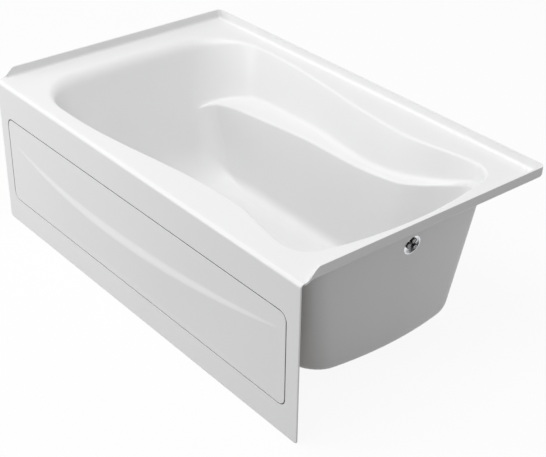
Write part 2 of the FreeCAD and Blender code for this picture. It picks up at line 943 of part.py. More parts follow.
def floor_expression(x):
    """Underside of the shell's floor above a place along the tub."""
    slope = "Sizes.floor_fall/Sizes.floor_fall_run"
    return f"(Sizes.floor_height_at_drain-Sizes.shell_wall+{slope}*({drain_place}-({x})))"


board_start = f"(Sizes.board_from_left-{half_l})"
board_end = f"({half_l}-Sizes.board_from_right)"
board_length = "(Sizes.tub_length-Sizes.board_from_left-Sizes.board_from_right)"


def sloping_slab(name, margin, top, bottom, half_width):
    """A slab that follows the falling floor, between two depths under it."""
    start = f"({board_start}-({margin}))"
    end = f"({board_end}+({margin}))"
    thing = prism(
        name,
        "XZ_Plane",
        [
            ("0", f"{floor_expression(start)}-({bottom})"),
            (f"{board_length}+2*({margin})", f"{floor_expression(end)}-({bottom})"),
            (f"{board_length}+2*({margin})", f"{floor_expression(end)}-({top})"),
            ("0", f"{floor_expression(start)}-({top})"),
        ],
        f"2*({half_width})",
    )
    place(thing, start, "0", "0")
    return thing


base_board = sloping_slab("BaseBoard", "0", "0", "Sizes.board_thickness", "Sizes.board_half_width")
keep(base_board, "base_board")

tray_depth = "Sizes.board_thickness+Sizes.laminate"
tray_outside = sloping_slab(
    "TrayOutside", "Sizes.laminate", "0", tray_depth, "Sizes.board_half_width+Sizes.laminate"
)
tray_flange = sloping_slab(
    "TrayFlange",
    "Sizes.laminate_flange",
    "0",
    "Sizes.laminate",
    "Sizes.board_half_width+Sizes.laminate_flange",
)
board_space = sloping_slab(
    "BoardSpace", "0", "-Sizes.laminate", "Sizes.board_thickness", "Sizes.board_half_width"
)
keep(cut("BoardLaminate", fused("Tray", [tray_outside, tray_flange]), board_space), "board_laminate")

bearer_names = ["backrest_bearer", "middle_bearer", "drain_bearer"]
bearer_pitch = (
    f"((Sizes.tub_length-Sizes.bearer_first_from_left-Sizes.bearer_last_from_right)"
    f"/(Sizes.bearer_count-1))"
)
for number, label in enumerate(bearer_names):
    centre = f"(Sizes.bearer_first_from_left-{half_l}+{number}*{bearer_pitch})"
    start = f"({centre}-Sizes.bearer_width/2)"
    end = f"({centre}+Sizes.bearer_width/2)"
    bearer = prism(
        f"Bearer{number + 1}",
        "XZ_Plane",
        [
            ("0", "0"),
            ("Sizes.bearer_width", "0"),
            ("Sizes.bearer_width", f"{floor_expression(end)}-({tray_depth})"),
            ("0", f"{floor_expression(start)}-({tray_depth})"),
        ],
        "2*Sizes.bearer_half_length",
    )
    place(bearer, start, "0", "0")
    keep(bearer, label)

rail_length = "(Sizes.tub_length-Sizes.rail_from_left-Sizes.rail_from_right)"
rail_y = f"({apron_y}+Sizes.shell_wall)"
frame_top = "(Sizes.panel_top+Sizes.panel_gap+Sizes.shell_wall)"
head_rail = box(
    "HeadRail",
    rail_length,
    "Sizes.rail_thickness",
    f"{deck_bottom}-{frame_top}-2*Sizes.head_rail_clearance",
    f"Sizes.rail_from_left-{half_l}",
    rail_y,
    f"{frame_top}+Sizes.head_rail_clearance",
)
keep(head_rail, "apron_head_rail")
foot_rail = box(
    "FootRail",
    rail_length,
    "Sizes.rail_thickness",
    "Sizes.foot_rail_height",
    f"Sizes.rail_from_left-{half_l}",
    rail_y,
    "0",
)
keep(foot_rail, "apron_foot_rail")

# ---------------------------------------------------------------- the drain

seal_top = f"({well_floor}+Sizes.drain_seal_thickness)"
shell_under_drain = f"({well_floor}-Sizes.shell_wall)"
nut_top = f"({shell_under_drain}-Sizes.drain_gasket_thickness)"
nut_bottom = f"({nut_top}-Sizes.drain_nut_thickness)"
tail_bottom = f"({nut_bottom}-Sizes.drain_tail_length)"
flange_top = f"({seal_top}+Sizes.drain_flange_thickness)"
thread = "Sizes.drain_thread_radius"
tail = "Sizes.drain_tail_radius"
bore = "Sizes.drain_bore_radius"
seat_radius = "(Sizes.stopper_radius-3)"

barrel = turned(
    "DrainBarrel",
    [
        (bore, tail_bottom),
        (tail, tail_bottom),
        (tail, nut_bottom),
        (thread, nut_bottom),
        (thread, seal_top),
        ("Sizes.drain_flange_radius", seal_top),
        ("(Sizes.drain_flange_radius-1.5)", flange_top),
        (seat_radius, flange_top),
        (bore, nut_top),
    ],
)
place(barrel, drain_place)
bar_z = f"({nut_top}-3)"
bar_length = f"2*({bore}+1)"
bars = [
    box(
        "StrainerBarX",
        bar_length,
        "Sizes.strainer_bar",
        "Sizes.strainer_bar",
        f"{drain_place}-({bore}+1)",
        "-Sizes.strainer_bar/2",
        f"{bar_z}-Sizes.strainer_bar",
    ),
    box(
        "StrainerBarY",
        "Sizes.strainer_bar",
        bar_length,
        "Sizes.strainer_bar",
        f"{drain_place}-Sizes.strainer_bar/2",
        f"-({bore}+1)",
        f"{bar_z}-Sizes.strainer_bar",
    ),
]
hub = cylinder(
    "StrainerHub",
    "Sizes.strainer_hub_radius",
    "Sizes.strainer_bar",
    drain_place,
    "0",
    f"{bar_z}-Sizes.strainer_bar",
)
hub_bore = cylinder(
    "StrainerHubBore",
    "Sizes.cartridge_radius-1",
    "3*Sizes.strainer_bar",
    drain_place,
    "0",
    f"{bar_z}-2*Sizes.strainer_bar",
)
keep(cut("DrainFlange", fused("DrainCasting", [barrel] + bars + [hub]), hub_bore), "drain_flange")


def washer(name, label, inner, outer, bottom, top):
    """A flat ring round the drain."""
    ring = turned(name, [(inner, bottom), (outer, bottom), (outer, top), (inner, top)])
    place(ring, drain_place)
    return keep(ring, label)


loose = f"({thread}+0.3)"
washer("DrainSeal", "drain_top_seal", loose, "Sizes.drain_flange_radius-1", well_floor, seal_top)
washer(
    "DrainGasket", "drain_gasket", loose, "Sizes.drain_nut_radius", nut_top, shell_under_drain
)

nut_blank = doc.addObject("Part::Prism", "LocknutBlank")
nut_blank.Polygon = 6
bind(nut_blank, Circumradius="Sizes.drain_nut_radius", Height="Sizes.drain_nut_thickness")
place(nut_blank, drain_place, "0", nut_bottom)
nut_bore = cylinder(
    "LocknutBore",
    f"{thread}+0.05",
    "2*Sizes.drain_nut_thickness",
    drain_place,
    "0",
    f"{nut_bottom}-Sizes.drain_nut_thickness/2",
)
keep(cut("DrainLocknut", nut_blank, nut_bore), "drain_locknut")

cartridge_foot = f"({bar_z}-Sizes.strainer_bar)"
cartridge_top = f"({cartridge_foot}+Sizes.cartridge_height)"
cartridge = turned(
    "StopperCartridge",
    [
        ("0", cartridge_foot),
        ("Sizes.cartridge_radius-1.05", cartridge_foot),
        ("Sizes.cartridge_radius-1.05", bar_z),
        ("Sizes.cartridge_radius", bar_z),
        ("Sizes.cartridge_radius", cartridge_top),
        ("0", cartridge_top),
    ],
)
place(cartridge, drain_place)
keep(cartridge, "stopper_cartridge")

seal_seat = f"({flange_top}+0.3)"
cap_bottom = f"({seal_seat}+Sizes.stopper_seal_thickness)"
cap_top = f"({cap_bottom}+Sizes.stopper_cap_thickness)"
sleeve_inner = "(Sizes.cartridge_radius+0.2)"
sleeve_outer = f"({sleeve_inner}+Sizes.stopper_sleeve_wall)"
sleeve_bottom = f"({bar_z}+0.5)"
stopper = turned(
    "StopperCap",
    [
        ("0", cap_top),
        ("0", f"{cap_bottom}"),
        (sleeve_inner, cap_bottom),
        (sleeve_inner, sleeve_bottom),
        (sleeve_outer, sleeve_bottom),
        (sleeve_outer, cap_bottom),
        ("Sizes.stopper_radius", cap_bottom),
        ("Sizes.stopper_radius", f"{cap_bottom}+Sizes.stopper_cap_thickness/3"),
        ("Sizes.stopper_radius/2", f"{cap_top}-Sizes.stopper_cap_thickness/5"),
    ],
)
place(stopper, drain_place)
keep(stopper, "stopper_cap")
stopper_seal = turned(
    "StopperSeal",
    [
        (f"{sleeve_outer}+0.1", seal_seat),
        ("Sizes.stopper_radius-1", seal_seat),
        ("Sizes.stopper_radius-1", cap_bottom),
        (f"{sleeve_outer}+0.1", cap_bottom),
    ],
)
place(stopper_seal, drain_place)
keep(stopper_seal, "stopper_seal")

# ---------------------------------------------------------------- the overflow

bow_gap = size("overflow_plate_radius") ** 2 / (2 * size("drain_bow_radius")) + 0.1
gasket = turned(
    "OverflowGasket",
    [
        ("Sizes.overflow_hole_radius+0.5", "0"),
        ("Sizes.overflow_plate_radius-1.5", "0"),
        ("Sizes.overflow_plate_radius-1.5", "Sizes.overflow_gasket_thickness"),
        ("Sizes.overflow_hole_radius+0.5", "Sizes.overflow_gasket_thickness"),
    ],
)
gasket.Placement = along_overflow(-bow_gap - size("overflow_gasket_thickness"))
keep(gasket, "overflow_gasket")

faceplate = turned(
    "OverflowFaceplate",
    [
        ("0", "Sizes.overflow_plate_thickness"),
        ("0", "0"),
        ("Sizes.overflow_plate_radius-8", "0"),
        ("Sizes.overflow_plate_radius", "3*Sizes.overflow_plate_thickness/5"),
        ("Sizes.overflow_plate_radius", "Sizes.overflow_plate_thickness"),
    ],
)
plate_back = -bow_gap - size("overflow_gasket_thickness")
faceplate.Placement = along_overflow(plate_back - size("overflow_plate_thickness"))
keep(faceplate, "overflow_faceplate")

bridge_from = plate_back + 0.1
ring_outer = "(Sizes.overflow_hole_radius-0.3)"
ring = turned(
    "BridgeRing",
    [
        (f"{ring_outer}-Sizes.overflow_bridge_wall", "0"),
        (ring_outer, "0"),
        (ring_outer, "Sizes.overflow_bridge_depth"),
        (f"{ring_outer}-Sizes.overflow_bridge_wall", "Sizes.overflow_bridge_depth"),
    ],
)
ring.Placement = along_overflow(bridge_from)

# Three posts in the hole, as offsets up and to the back from its centre.
post_offsets = {
    "top": (size("overflow_top_post_up"), 0),
    "front": (size("overflow_front_post_up"), -size("overflow_front_post_out")),
    "back": (-size("overflow_back_post_down"), size("overflow_back_post_out")),
}
post_parts = []
post_bores = []
screw_parts = []
for label, (up, back) in post_offsets.items():
    offset = Vector(-up, back, 0)
    post_place = Placement(along_overflow(bridge_from).multVec(offset), overflow_turn)
    post = doc.addObject("Part::Cylinder", f"Post{label.capitalize()}")
    bind(post, Radius="Sizes.overflow_post_radius", Height="Sizes.overflow_post_length")
    post.Placement = post_place
    post_parts.append(post)
    post_bore = doc.addObject("Part::Cylinder", f"PostBore{label.capitalize()}")
    bind(post_bore, Radius="Sizes.overflow_post_bore", Height="Sizes.overflow_post_length")
    post_bore.Placement = Placement(
        along_overflow(bridge_from + size("overflow_bridge_wall")).multVec(offset), overflow_turn
    )
    post_bores.append(post_bore)
    screw = doc.addObject("Part::Cylinder", f"OverflowScrew{label.capitalize()}")
    bind(screw, Radius="Sizes.overflow_screw_radius", Height="Sizes.overflow_screw_head")
    screw.Placement = post_bore.Placement
    screw_parts.append(screw)

web = doc.addObject("Part::Cylinder", "BridgeWeb")
bind(web, Radius=f"{ring_outer}-Sizes.overflow_bridge_wall/2", Height="Sizes.overflow_bridge_wall")
web.Placement = along_overflow(bridge_from)
web_half = doc.addObject("Part::Box", "BridgeWebHalf")
bind(
    web_half,
    Length="Sizes.overflow_hole_radius*2",
    Width="Sizes.overflow_hole_radius*4",
    Height="Sizes.overflow_hole_radius",
)
web_half.Placement = Placement(
    along_overflow(bridge_from - size("overflow_hole_radius") / 2).multVec(
        Vector(size("overflow_web_below_axis"), -2 * size("overflow_hole_radius"), 0)
    ),
    overflow_turn,
)
bridge_web = cut("BridgeUpperWeb", web, web_half)
bridge_solid = fused("BridgeSolid", [ring, bridge_web] + post_parts)
keep(cut("OverflowBridge", bridge_solid, fused("BridgeBores", post_bores)), "overflow_bridge")
keep(grouped("OverflowScrews", screw_parts), "overflow_screws")

# ---------------------------------------------------------------- check and write

doc.recompute()
for thing in doc.Objects:
    bad = [state for state in thing.State if state in ("Invalid", "Error")]
    if bad:
        raise RuntimeError(f"{thing.Name} ({thing.Label}) failed: {bad}")

os.makedirs("parts", exist_ok=True)
for thing in kept:
    shape = thing.Shape
    if shape.isNull() or not shape.isValid() or not shape.Solids:
        raise RuntimeError(f"{thing.Label} has no valid shape")
    shape.exportStep(f"parts/{thing.Label}.step")
    bounds = shape.BoundBox
    print(
        f"{thing.Label:20s} solids {len(shape.Solids):2d}  volume {shape.Volume / 1000:9.2f} cm3  "
        f"x {bounds.XMin:7.1f} {bounds.XMax:7.1f}  y {bounds.YMin:7.1f} {bounds.YMax:7.1f}  "
        f"z {bounds.ZMin:6.1f} {bounds.ZMax:6.1f}"
    )
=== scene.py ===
import json
from math import acos, atan, atan2, cos, pi, radians, sin, sqrt

import bmesh
import bpy
from mathutils import Matrix, Vector


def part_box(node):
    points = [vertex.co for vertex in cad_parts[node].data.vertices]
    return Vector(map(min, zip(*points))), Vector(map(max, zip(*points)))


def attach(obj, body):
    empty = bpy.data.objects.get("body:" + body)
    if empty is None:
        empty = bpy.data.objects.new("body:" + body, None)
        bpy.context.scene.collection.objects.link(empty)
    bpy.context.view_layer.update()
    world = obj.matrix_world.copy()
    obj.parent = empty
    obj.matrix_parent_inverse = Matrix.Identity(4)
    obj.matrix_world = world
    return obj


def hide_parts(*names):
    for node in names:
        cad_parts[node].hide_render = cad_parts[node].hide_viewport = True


# Alcove bathtub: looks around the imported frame. Metres, +Z up, +X to the drain, +Y to the wall.

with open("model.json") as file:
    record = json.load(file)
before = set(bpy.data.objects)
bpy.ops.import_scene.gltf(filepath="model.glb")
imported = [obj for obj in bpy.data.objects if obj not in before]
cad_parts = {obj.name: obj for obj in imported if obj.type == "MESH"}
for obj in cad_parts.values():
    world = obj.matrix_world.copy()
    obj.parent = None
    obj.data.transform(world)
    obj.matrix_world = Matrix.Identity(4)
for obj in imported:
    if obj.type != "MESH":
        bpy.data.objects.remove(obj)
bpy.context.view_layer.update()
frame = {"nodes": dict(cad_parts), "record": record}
shellLow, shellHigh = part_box("tub_shell")
panelLow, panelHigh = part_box("access_panel")
weldDistance = 2e-6
nudge = 0.001  # a step that measures which way an outline goes
quarter = pi / 2
print("frame loaded")


def ease(t):
    t = max(0.0, min(1.0, t))
    return t * t * (3 - 2 * t)


def mix(a, b, t):
    return a + (b - a) * t


def line(start, end, steps):  # points after start, up to and with end
    return [mix(start, end, (k + 1) / steps) for k in range(steps)]


def quarterAngles(steps):
    return [quarter * k / steps for k in range(steps + 1)]


def quarterRound(radius, steps):  # (in from the corner, back from the face), from the face to the side
    return [(radius * (1 - sin(a)), radius * (1 - cos(a))) for a in quarterAngles(steps)]


def fullCircle(count):
    return [4 * quarter * k / count for k in range(count)]


def polar(radius, angle):
    return radius * cos(angle), radius * sin(angle)


def bend(start, corner, end, steps):  # a parabola that rounds a corner
    return [mix(mix(start, corner, t), mix(corner, end, t), t) for t in line(0.0, 1.0, steps)]


class SheetMesh:
    # patches are made apart and welded, so neighbours only have to agree on their border points

    def __init__(self):
        self.bm = bmesh.new()

    def grid(self, rows, closed=False):
        made = [[self.bm.verts.new(p) for p in row] for row in rows]
        count = len(rows[0])
        for upper, lower in zip(made, made[1:]):
            for k in range(count if closed else count - 1):
                j = (k + 1) % count
                self.bm.faces.new((upper[k], upper[j], lower[j], lower[k]))

    def fill(self, *loops):  # a flat face between closed loops, the first of them outermost
        edges = []
        for loop in loops:
            verts = [self.bm.verts.new(p) for p in loop]
            edges += [self.bm.edges.new((verts[k - 1], verts[k])) for k in range(len(verts))]
        bmesh.ops.triangle_fill(self.bm, use_beauty=True, use_dissolve=False, edges=edges)

    def weld(self):
        bmesh.ops.remove_doubles(self.bm, verts=self.bm.verts, dist=weldDistance)
        bmesh.ops.dissolve_degenerate(self.bm, edges=self.bm.edges, dist=weldDistance / 20)

    def face(self, point, direction):  # one way round all over; the face nearest the point looks that way
        bmesh.ops.recalc_face_normals(self.bm, faces=self.bm.faces)
        nearest = min(self.bm.faces, key=lambda f: (f.calc_center_median() - point).length)
        nearest.normal_update()
        if nearest.normal.dot(direction) < 0:
            bmesh.ops.reverse_faces(self.bm, faces=self.bm.faces)

    def make(self, name, slot):
        for face in self.bm.faces:
            face.smooth = True
        return meshObject(name, self.bm, finishes[slot])


def addObject(name, data):
    obj = bpy.data.objects.new(name, data)
    bpy.context.scene.collection.objects.link(obj)
    return obj


def meshObject(name, bm, material):
    mesh = bpy.data.meshes.new(name)
    bm.to_mesh(mesh)
    bm.free()
    mesh.materials.append(material)
    return addObject(name, mesh)


def addModifier(obj, kind, **settings):
    modifier = obj.modifiers.new(kind.title(), kind)
    for key, value in settings.items():
        setattr(modifier, key, value)
    return modifier


def thicken(obj, thickness):  # inward
    addModifier(obj, "SOLIDIFY", thickness=thickness, offset=-1.0, use_even_offset=True,
                use_quality_normals=True)


def softenEdges(obj, width, degrees):
    addModifier(obj, "BEVEL", width=width, segments=2, limit_method="ANGLE",
                angle_limit=radians(degrees))


def applyModifiers(obj):
    evaluated = obj.evaluated_get(bpy.context.evaluated_depsgraph_get())
    plain = bpy.data.meshes.new_from_object(evaluated)
    plain.name = obj.name
    obj.modifiers.clear()
    obj.data = plain


def rideAs(obj, body, node):
    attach(obj, body)
    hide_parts(node)


class Socket:
    # wraps an output socket, so that shader maths reads as maths

    def __init__(self, tree, socket):
        self.tree = tree
        self.socket = socket

    def maths(self, operation, *values, clamp=False):
        inputs = dict(enumerate(values))
        return self.tree.add("ShaderNodeMath", inputs, operation=operation, use_clamp=clamp)[0]

    def clamped(self):
        return self.maths("ADD", self, 0.0, clamp=True)

    def __add__(self, other):
        return self.maths("ADD", self, other)

    def __sub__(self, other):
        return self.maths("SUBTRACT", self, other)

    def __rsub__(self, other):
        return self.maths("SUBTRACT", other, self)

    def __mul__(self, other):
        return self.maths("MULTIPLY", self, other)

    def __pow__(self, other):
        return self.maths("POWER", self, other)

    def __abs__(self):
        return self.maths("ABSOLUTE", self)

    __radd__ = __add__
    __rmul__ = __mul__


class NodeTree:
    def __init__(self, owner):
        owner.use_nodes = True
        self.nodes = owner.node_tree.nodes
        self.links = owner.node_tree.links
        self.nodes.clear()

    def add(self, kind, inputs=None, **settings):
        # settings first, then the sockets' values or links; gives the node's outputs
        node = self.nodes.new(kind)
        for key, value in settings.items():
            setattr(node, key, value)
        for key, value in (inputs or {}).items():
            if isinstance(value, Socket):
                self.links.new(value.socket, node.inputs[key])
            elif isinstance(value, list):
                for part in value:
                    self.links.new(part.socket, node.inputs[key])
            else:
                socket = node.inputs[key]
                socket.default_value = (*value, 1.0) if socket.type == "RGBA" else value
        return [Socket(self, output) for output in node.outputs]

    def objectPlace(self):
        return self.add("ShaderNodeTexCoord")[3]

    def noise(self, scale, detail=3.0, roughness=0.5, place=None):
        return self.add("ShaderNodeTexNoise", {"Vector": place or self.objectPlace(), "Scale": scale,
                                               "Detail": detail, "Roughness": roughness})[0]

    def tint(self, factor, first, second):
        return self.add("ShaderNodeMix", {0: factor, 6: first, 7: second}, data_type="RGBA")[2]

    def finish(self, look, tone, grain, height=None, **inputs):
        # the grain roughens the surface from the look's least roughness up, and the height lifts it
        least, spread = look["roughness"]
        inputs.update(Base_Color=tone, Roughness=grain * spread + least)
        if height is not None:
            strength, distance = look["relief"]
            inputs["Normal"] = self.add("ShaderNodeBump", {"Height": height, "Strength": strength,
                                                           "Distance": distance})[0]
        named = {key.replace("_", " "): value for key, value in inputs.items()}
        shader = self.add("ShaderNodeBsdfPrincipled", named)[0]
        self.add("ShaderNodeOutputMaterial", {"Surface": shader})


class GeometryTree(NodeTree):
    # puts one small piece on every vertex of a mesh; the tree's named inputs are its sizes

    def __init__(self, name, sizes):
        self.sizes = sizes
        self.group = bpy.data.node_groups.new(name, "GeometryNodeTree")
        self.nodes = self.group.nodes
        self.links = self.group.links
        interface = self.group.interface
        interface.new_socket("Places", in_out="INPUT", socket_type="NodeSocketGeometry")
        for size in sizes:
            interface.new_socket(size, in_out="INPUT", socket_type="NodeSocketFloat")
        interface.new_socket("Result", in_out="OUTPUT", socket_type="NodeSocketGeometry")
        self.inputs = dict(zip(["Places", *sizes], self.add("NodeGroupInput")))

    def lifted(self, piece, height):
        offset = self.add("ShaderNodeCombineXYZ", {"Z": height})[0]
        return self.add("GeometryNodeTransform", {"Geometry": piece, "Translation": offset})[0]

    def cylinder(self, radius, length, sides=32):
        inputs = {"Vertices": sides, "Radius": radius, "Depth": length}
        return self.add("GeometryNodeMeshCylinder", inputs)

    def block(self, width, length):
        size = self.add("ShaderNodeCombineXYZ", {"X": width, "Y": width, "Z": length})[0]
        return self.lifted(self.add("GeometryNodeMeshCube", {"Size": size})[0], length * 0.5)

    def result(self, piece, turn, material):
        placed = self.add("GeometryNodeInstanceOnPoints", {
            "Points": self.inputs["Places"], "Instance": piece, "Rotation": turn})[0]
        plain = self.add("GeometryNodeRealizeInstances", {"Geometry": placed})[0]
        dressed = self.add("GeometryNodeSetMaterial", {"Geometry": plain, "Material": material})[0]
        self.add("NodeGroupOutput", {"Result": dressed})

    def grow(self, name, places):
        mesh = bpy.data.meshes.new(name)
        mesh.from_pydata(places, [], [])
        obj = addObject(name, mesh)
        modifier = addModifier(obj, "NODES", node_group=self.group)
        for item in self.group.interface.items_tree:
            if item.name in self.sizes:
                modifier[item.identifier] = self.sizes[item.name]
        applyModifiers(obj)
        obj.data.shade_smooth()
        obj.data.set_sharp_from_angle(angle=radians(35))
        return obj


def newMaterial(name, paint, *details):
    material = bpy.data.materials.new(name)
    paint(NodeTree(material), *details)
    return material


def acrylic(tree, look, gapShadeFloor):
    # cast sheet, formed hot, with a faint draw and the odd softer patch; the faces in the gap round the
    # panel get painted shade, dark from the given floor height up
    drawn = tree.noise(look["drawScale"], detail=2.0)
    orangePeel = tree.noise(look["peelScale"], detail=1.0)
    x, y, z = tree.add("ShaderNodeSeparateXYZ", {0: tree.objectPlace()})
    fade, margin = look["cutFade"], look["cutMargin"]
    # painted shade: the faces in the gap round the panel are darkened towards the shade colour
    gapShadeMask = ((y - shellLow[1] - look["cutFrom"]) * fade).clamped()
    for reach in (shellLow[1] + look["cutTo"] - y, panelHigh[0] + margin - abs(x),
                  z - gapShadeFloor, panelHigh[2] + margin - z):
        gapShadeMask = gapShadeMask * (reach * fade).clamped()
    tone = tree.tint(gapShadeMask, tree.tint(drawn, look["colour"], look["shade"]), look["cutEdge"])
    tree.finish(look, tone, drawn, orangePeel, IOR=look["ior"], Coat_Weight=look["coat"],
                Coat_Roughness=look["coatRoughness"])


def brightMetal(tree, look):
    # polished or brushed metal, with fine scuffs that soften its gloss
    scuffs = tree.noise(look["scuffScale"], detail=4.0, roughness=0.7)
    fine = tree.noise(look["scuffScale"] * 3, detail=2.0)
    tree.finish(look, tree.tint(scuffs, look["colour"], look["shade"]), scuffs, fine, Metallic=1.0)


def paintedShadePostMetal(tree, look):
    # painted shade makes the overflow's posts near black outside, and a painted highlight makes their
    # bores bright
    offset = tree.add("ShaderNodeVectorMath", {0: tree.objectPlace(), 1: overflowCentre},
                      operation="SUBTRACT")[0]
    up = tree.add("ShaderNodeVectorMath", {0: offset, 1: overflowUp}, operation="DOT_PRODUCT")[1]
    back = tree.add("ShaderNodeSeparateXYZ", {0: offset})[1]
    nearest = None
    for postUp, postBack in overflow["posts"]:
        distance = ((up - postUp) ** 2 + (back - postBack) ** 2) ** 0.5
        nearest = nearest.maths("MINIMUM", nearest, distance) if nearest else distance
    # the bores get the painted highlight's colour; the rest of each post keeps its painted shade
    bore = ((overflow["postBore"] + look["boreMargin"] - nearest) * look["boreFade"]).clamped()
    scuffs = tree.noise(look["scuffScale"], detail=4.0, roughness=0.7)
    tone = tree.tint(bore, tree.tint(scuffs, look["colour"], look["shade"]), look["bore"])
    tree.finish(look, tone, scuffs, Metallic=1.0)


def sawnWood(tree, look):
    # softwood sawn along X, with its growth rings and fibres drawn out that way
    place = tree.add("ShaderNodeMapping", {"Vector": tree.objectPlace(), "Scale": look["stretch"]})[0]
    rings = tree.add("ShaderNodeTexWave", {
        "Vector": place, "Scale": look["ringScale"], "Distortion": look["ringWander"], "Detail": 3.0,
        "Detail Scale": 1.4}, wave_type="BANDS", bands_direction="DIAGONAL")[1]
    fibres = tree.noise(look["fibreScale"], detail=5.0, roughness=0.6, place=place)
    late = tree.tint(rings, look["early"], look["late"])
    tone = tree.tint(fibres * look["fibreShare"], late, look["fibre"])
    tree.finish(look, tone, fibres, fibres + rings * look["ringLift"])


def pressedBoard(tree, look):
    # wood chips pressed in resin
    chips = tree.add("ShaderNodeTexVoronoi", {
        "Vector": tree.objectPlace(), "Scale": look["chipScale"], "Randomness": 1.0}, feature="F1")
    grain = tree.noise(look["chipScale"] * 4, detail=4.0)
    tone = tree.tint(grain, tree.tint(chips[0], look["light"], look["dark"]), look["chip"])
    tree.finish(look, tone, grain, chips[0])


def glassFibre(tree, look):
    # chopped strand laminate, rolled by hand over the board
    strands = tree.add("ShaderNodeTexVoronoi", {
        "Vector": tree.objectPlace(), "Scale": look["strandScale"], "Randomness": 1.0},
                       feature="DISTANCE_TO_EDGE")[0]
    lay = tree.noise(look["strandScale"] * 0.4, detail=6.0, roughness=0.7)
    tone = tree.tint(lay, look["colour"], look["shade"])
    tree.finish(look, tone, lay, lay + strands * look["strandLift"])


def softRubber(tree, look):
    # moulded rubber or plastic with a fine matt grain
    grain = tree.noise(look["grainScale"])
    tree.finish(look, tree.tint(grain, look["colour"], look["shade"]), grain, grain)


# roughness: the least and how far the grain raises it; relief: its strength and its depth
mattRelief = (0.25, 0.0002)
acrylicLook = {
    "colour": (0.82, 0.82, 0.82), "shade": (0.805, 0.806, 0.808), "roughness": (0.37, 0.06),
    "relief": (0.05, 0.0004), "drawScale": 2.2, "peelScale": 260.0,
    "ior": 1.49, "coat": 0.04, "coatRoughness": 0.05,
    # painted shade in the gap round the panel: its colour, how far back it reaches, its margin and its
    # fade
    "cutEdge": (0.10, 0.10, 0.10), "cutFrom": 0.0008, "cutTo": 0.0125, "cutMargin": 0.02,
    "cutFade": 600.0,
}
# heights above which the painted shade in the panel's gap starts, on the moulding and on the panel
gapShadeFloors = {"shell": panelLow[2] + 0.004, "panel": panelLow[2] - 0.02}
chromeLook = {"colour": (0.84, 0.85, 0.86), "shade": (0.76, 0.77, 0.79),
              "roughness": (0.038, 0.08), "relief": (0.12, 0.00006), "scuffScale": 90.0}
steelLook = {"colour": (0.62, 0.63, 0.65), "shade": (0.48, 0.49, 0.52),
             "roughness": (0.22, 0.2), "relief": (0.12, 0.0001), "scuffScale": 220.0}
dieCastLook = {"colour": (0.95, 0.95, 0.96), "shade": (0.84, 0.85, 0.86),
               "roughness": (0.25, 0.25), "relief": (0.12, 0.0002), "scuffScale": 160.0}
# posts: painted shade for their near-black colour, and a painted highlight for the bright colour of their
# bores
paintedShadePostLook = {"colour": (0.05, 0.05, 0.055), "shade": (0.03, 0.03, 0.03), "roughness": (0.34, 0.1),
            "scuffScale": 160.0, "bore": (0.93, 0.93, 0.94), "boreMargin": 0.0004,
            "boreFade": 4000.0}
brassLook = {"colour": (0.72, 0.53, 0.24), "shade": (0.52, 0.36, 0.15),
             "roughness": (0.26, 0.2), "relief": (0.12, 0.00015), "scuffScale": 140.0}
pineLook = {"early": (0.72, 0.53, 0.31), "late": (0.53, 0.34, 0.17), "ringScale": 1.1,
            "ringWander": 5.0, "ringLift": 0.6, "stretch": (1.2, 14.0, 14.0),
            "fibre": (0.60, 0.44, 0.26), "fibreScale": 9.0, "fibreShare": 0.45,
            "roughness": (0.62, 0.2), "relief": (0.35, 0.0006)}
boardLook = {"light": (0.62, 0.47, 0.30), "dark": (0.40, 0.28, 0.16),
             "chip": (0.70, 0.57, 0.40), "chipScale": 130.0, "roughness": (0.75, 0.15),
             "relief": (0.3, 0.0005)}
laminateLook = {"colour": (0.70, 0.70, 0.62), "shade": (0.55, 0.56, 0.49),
                "strandScale": 90.0, "strandLift": 0.5, "roughness": (0.35, 0.3), "relief": (0.6, 0.0012)}
clipLook = {"colour": (0.80, 0.80, 0.77), "shade": (0.70, 0.70, 0.67),
            "roughness": (0.35, 0.2), "relief": mattRelief, "grainScale": 240.0}
blackRubberLook = {"colour": (0.022, 0.022, 0.023), "shade": (0.05, 0.05, 0.05),
                   "roughness": (0.5, 0.2), "relief": mattRelief, "grainScale": 300.0}
greyRubberLook = {"colour": (0.12, 0.12, 0.125), "shade": (0.2, 0.2, 0.2),
                  "roughness": (0.5, 0.2), "relief": mattRelief, "grainScale": 300.0}
whiteSealLook = {"colour": (0.72, 0.71, 0.67), "shade": (0.62, 0.61, 0.57),
                 "roughness": (0.3, 0.2), "relief": mattRelief, "grainScale": 120.0}

finishRows = {
    "acrylic": ("acrylic", acrylic, acrylicLook, gapShadeFloors["shell"]),
    "panel_acrylic": ("panelAcrylic", acrylic, acrylicLook, gapShadeFloors["panel"]),
    "carcass_wood": ("sawnPine", sawnWood, pineLook),
    "board": ("pressedBoard", pressedBoard, boardLook),
    "glass_fibre": ("glassFibre", glassFibre, laminateLook),
    "bright_steel": ("zincSteel", brightMetal, steelLook),
    "clip_plastic": ("clipPlastic", softRubber, clipLook),
    "drain_chrome": ("chrome", brightMetal, chromeLook),
    "white_seal": ("whiteSeal", softRubber, whiteSealLook),
    "black_rubber": ("blackRubber", softRubber, blackRubberLook),
    "grey_rubber": ("greyRubber", softRubber, greyRubberLook),
    "nut_brass": ("castBrass", brightMetal, brassLook),
    "bridge_metal": ("dieCastZinc", brightMetal, dieCastLook),
}
finishes = {slot: newMaterial(*row) for slot, row in finishRows.items()}
nodeSlots = {part["node"]: part["material_slot"] for part in frame["record"]["subparts"]}
for node, obj in frame["nodes"].items():
    for materialSlot in obj.material_slots:
        materialSlot.material = finishes[nodeSlots[node]]
print("materials made")


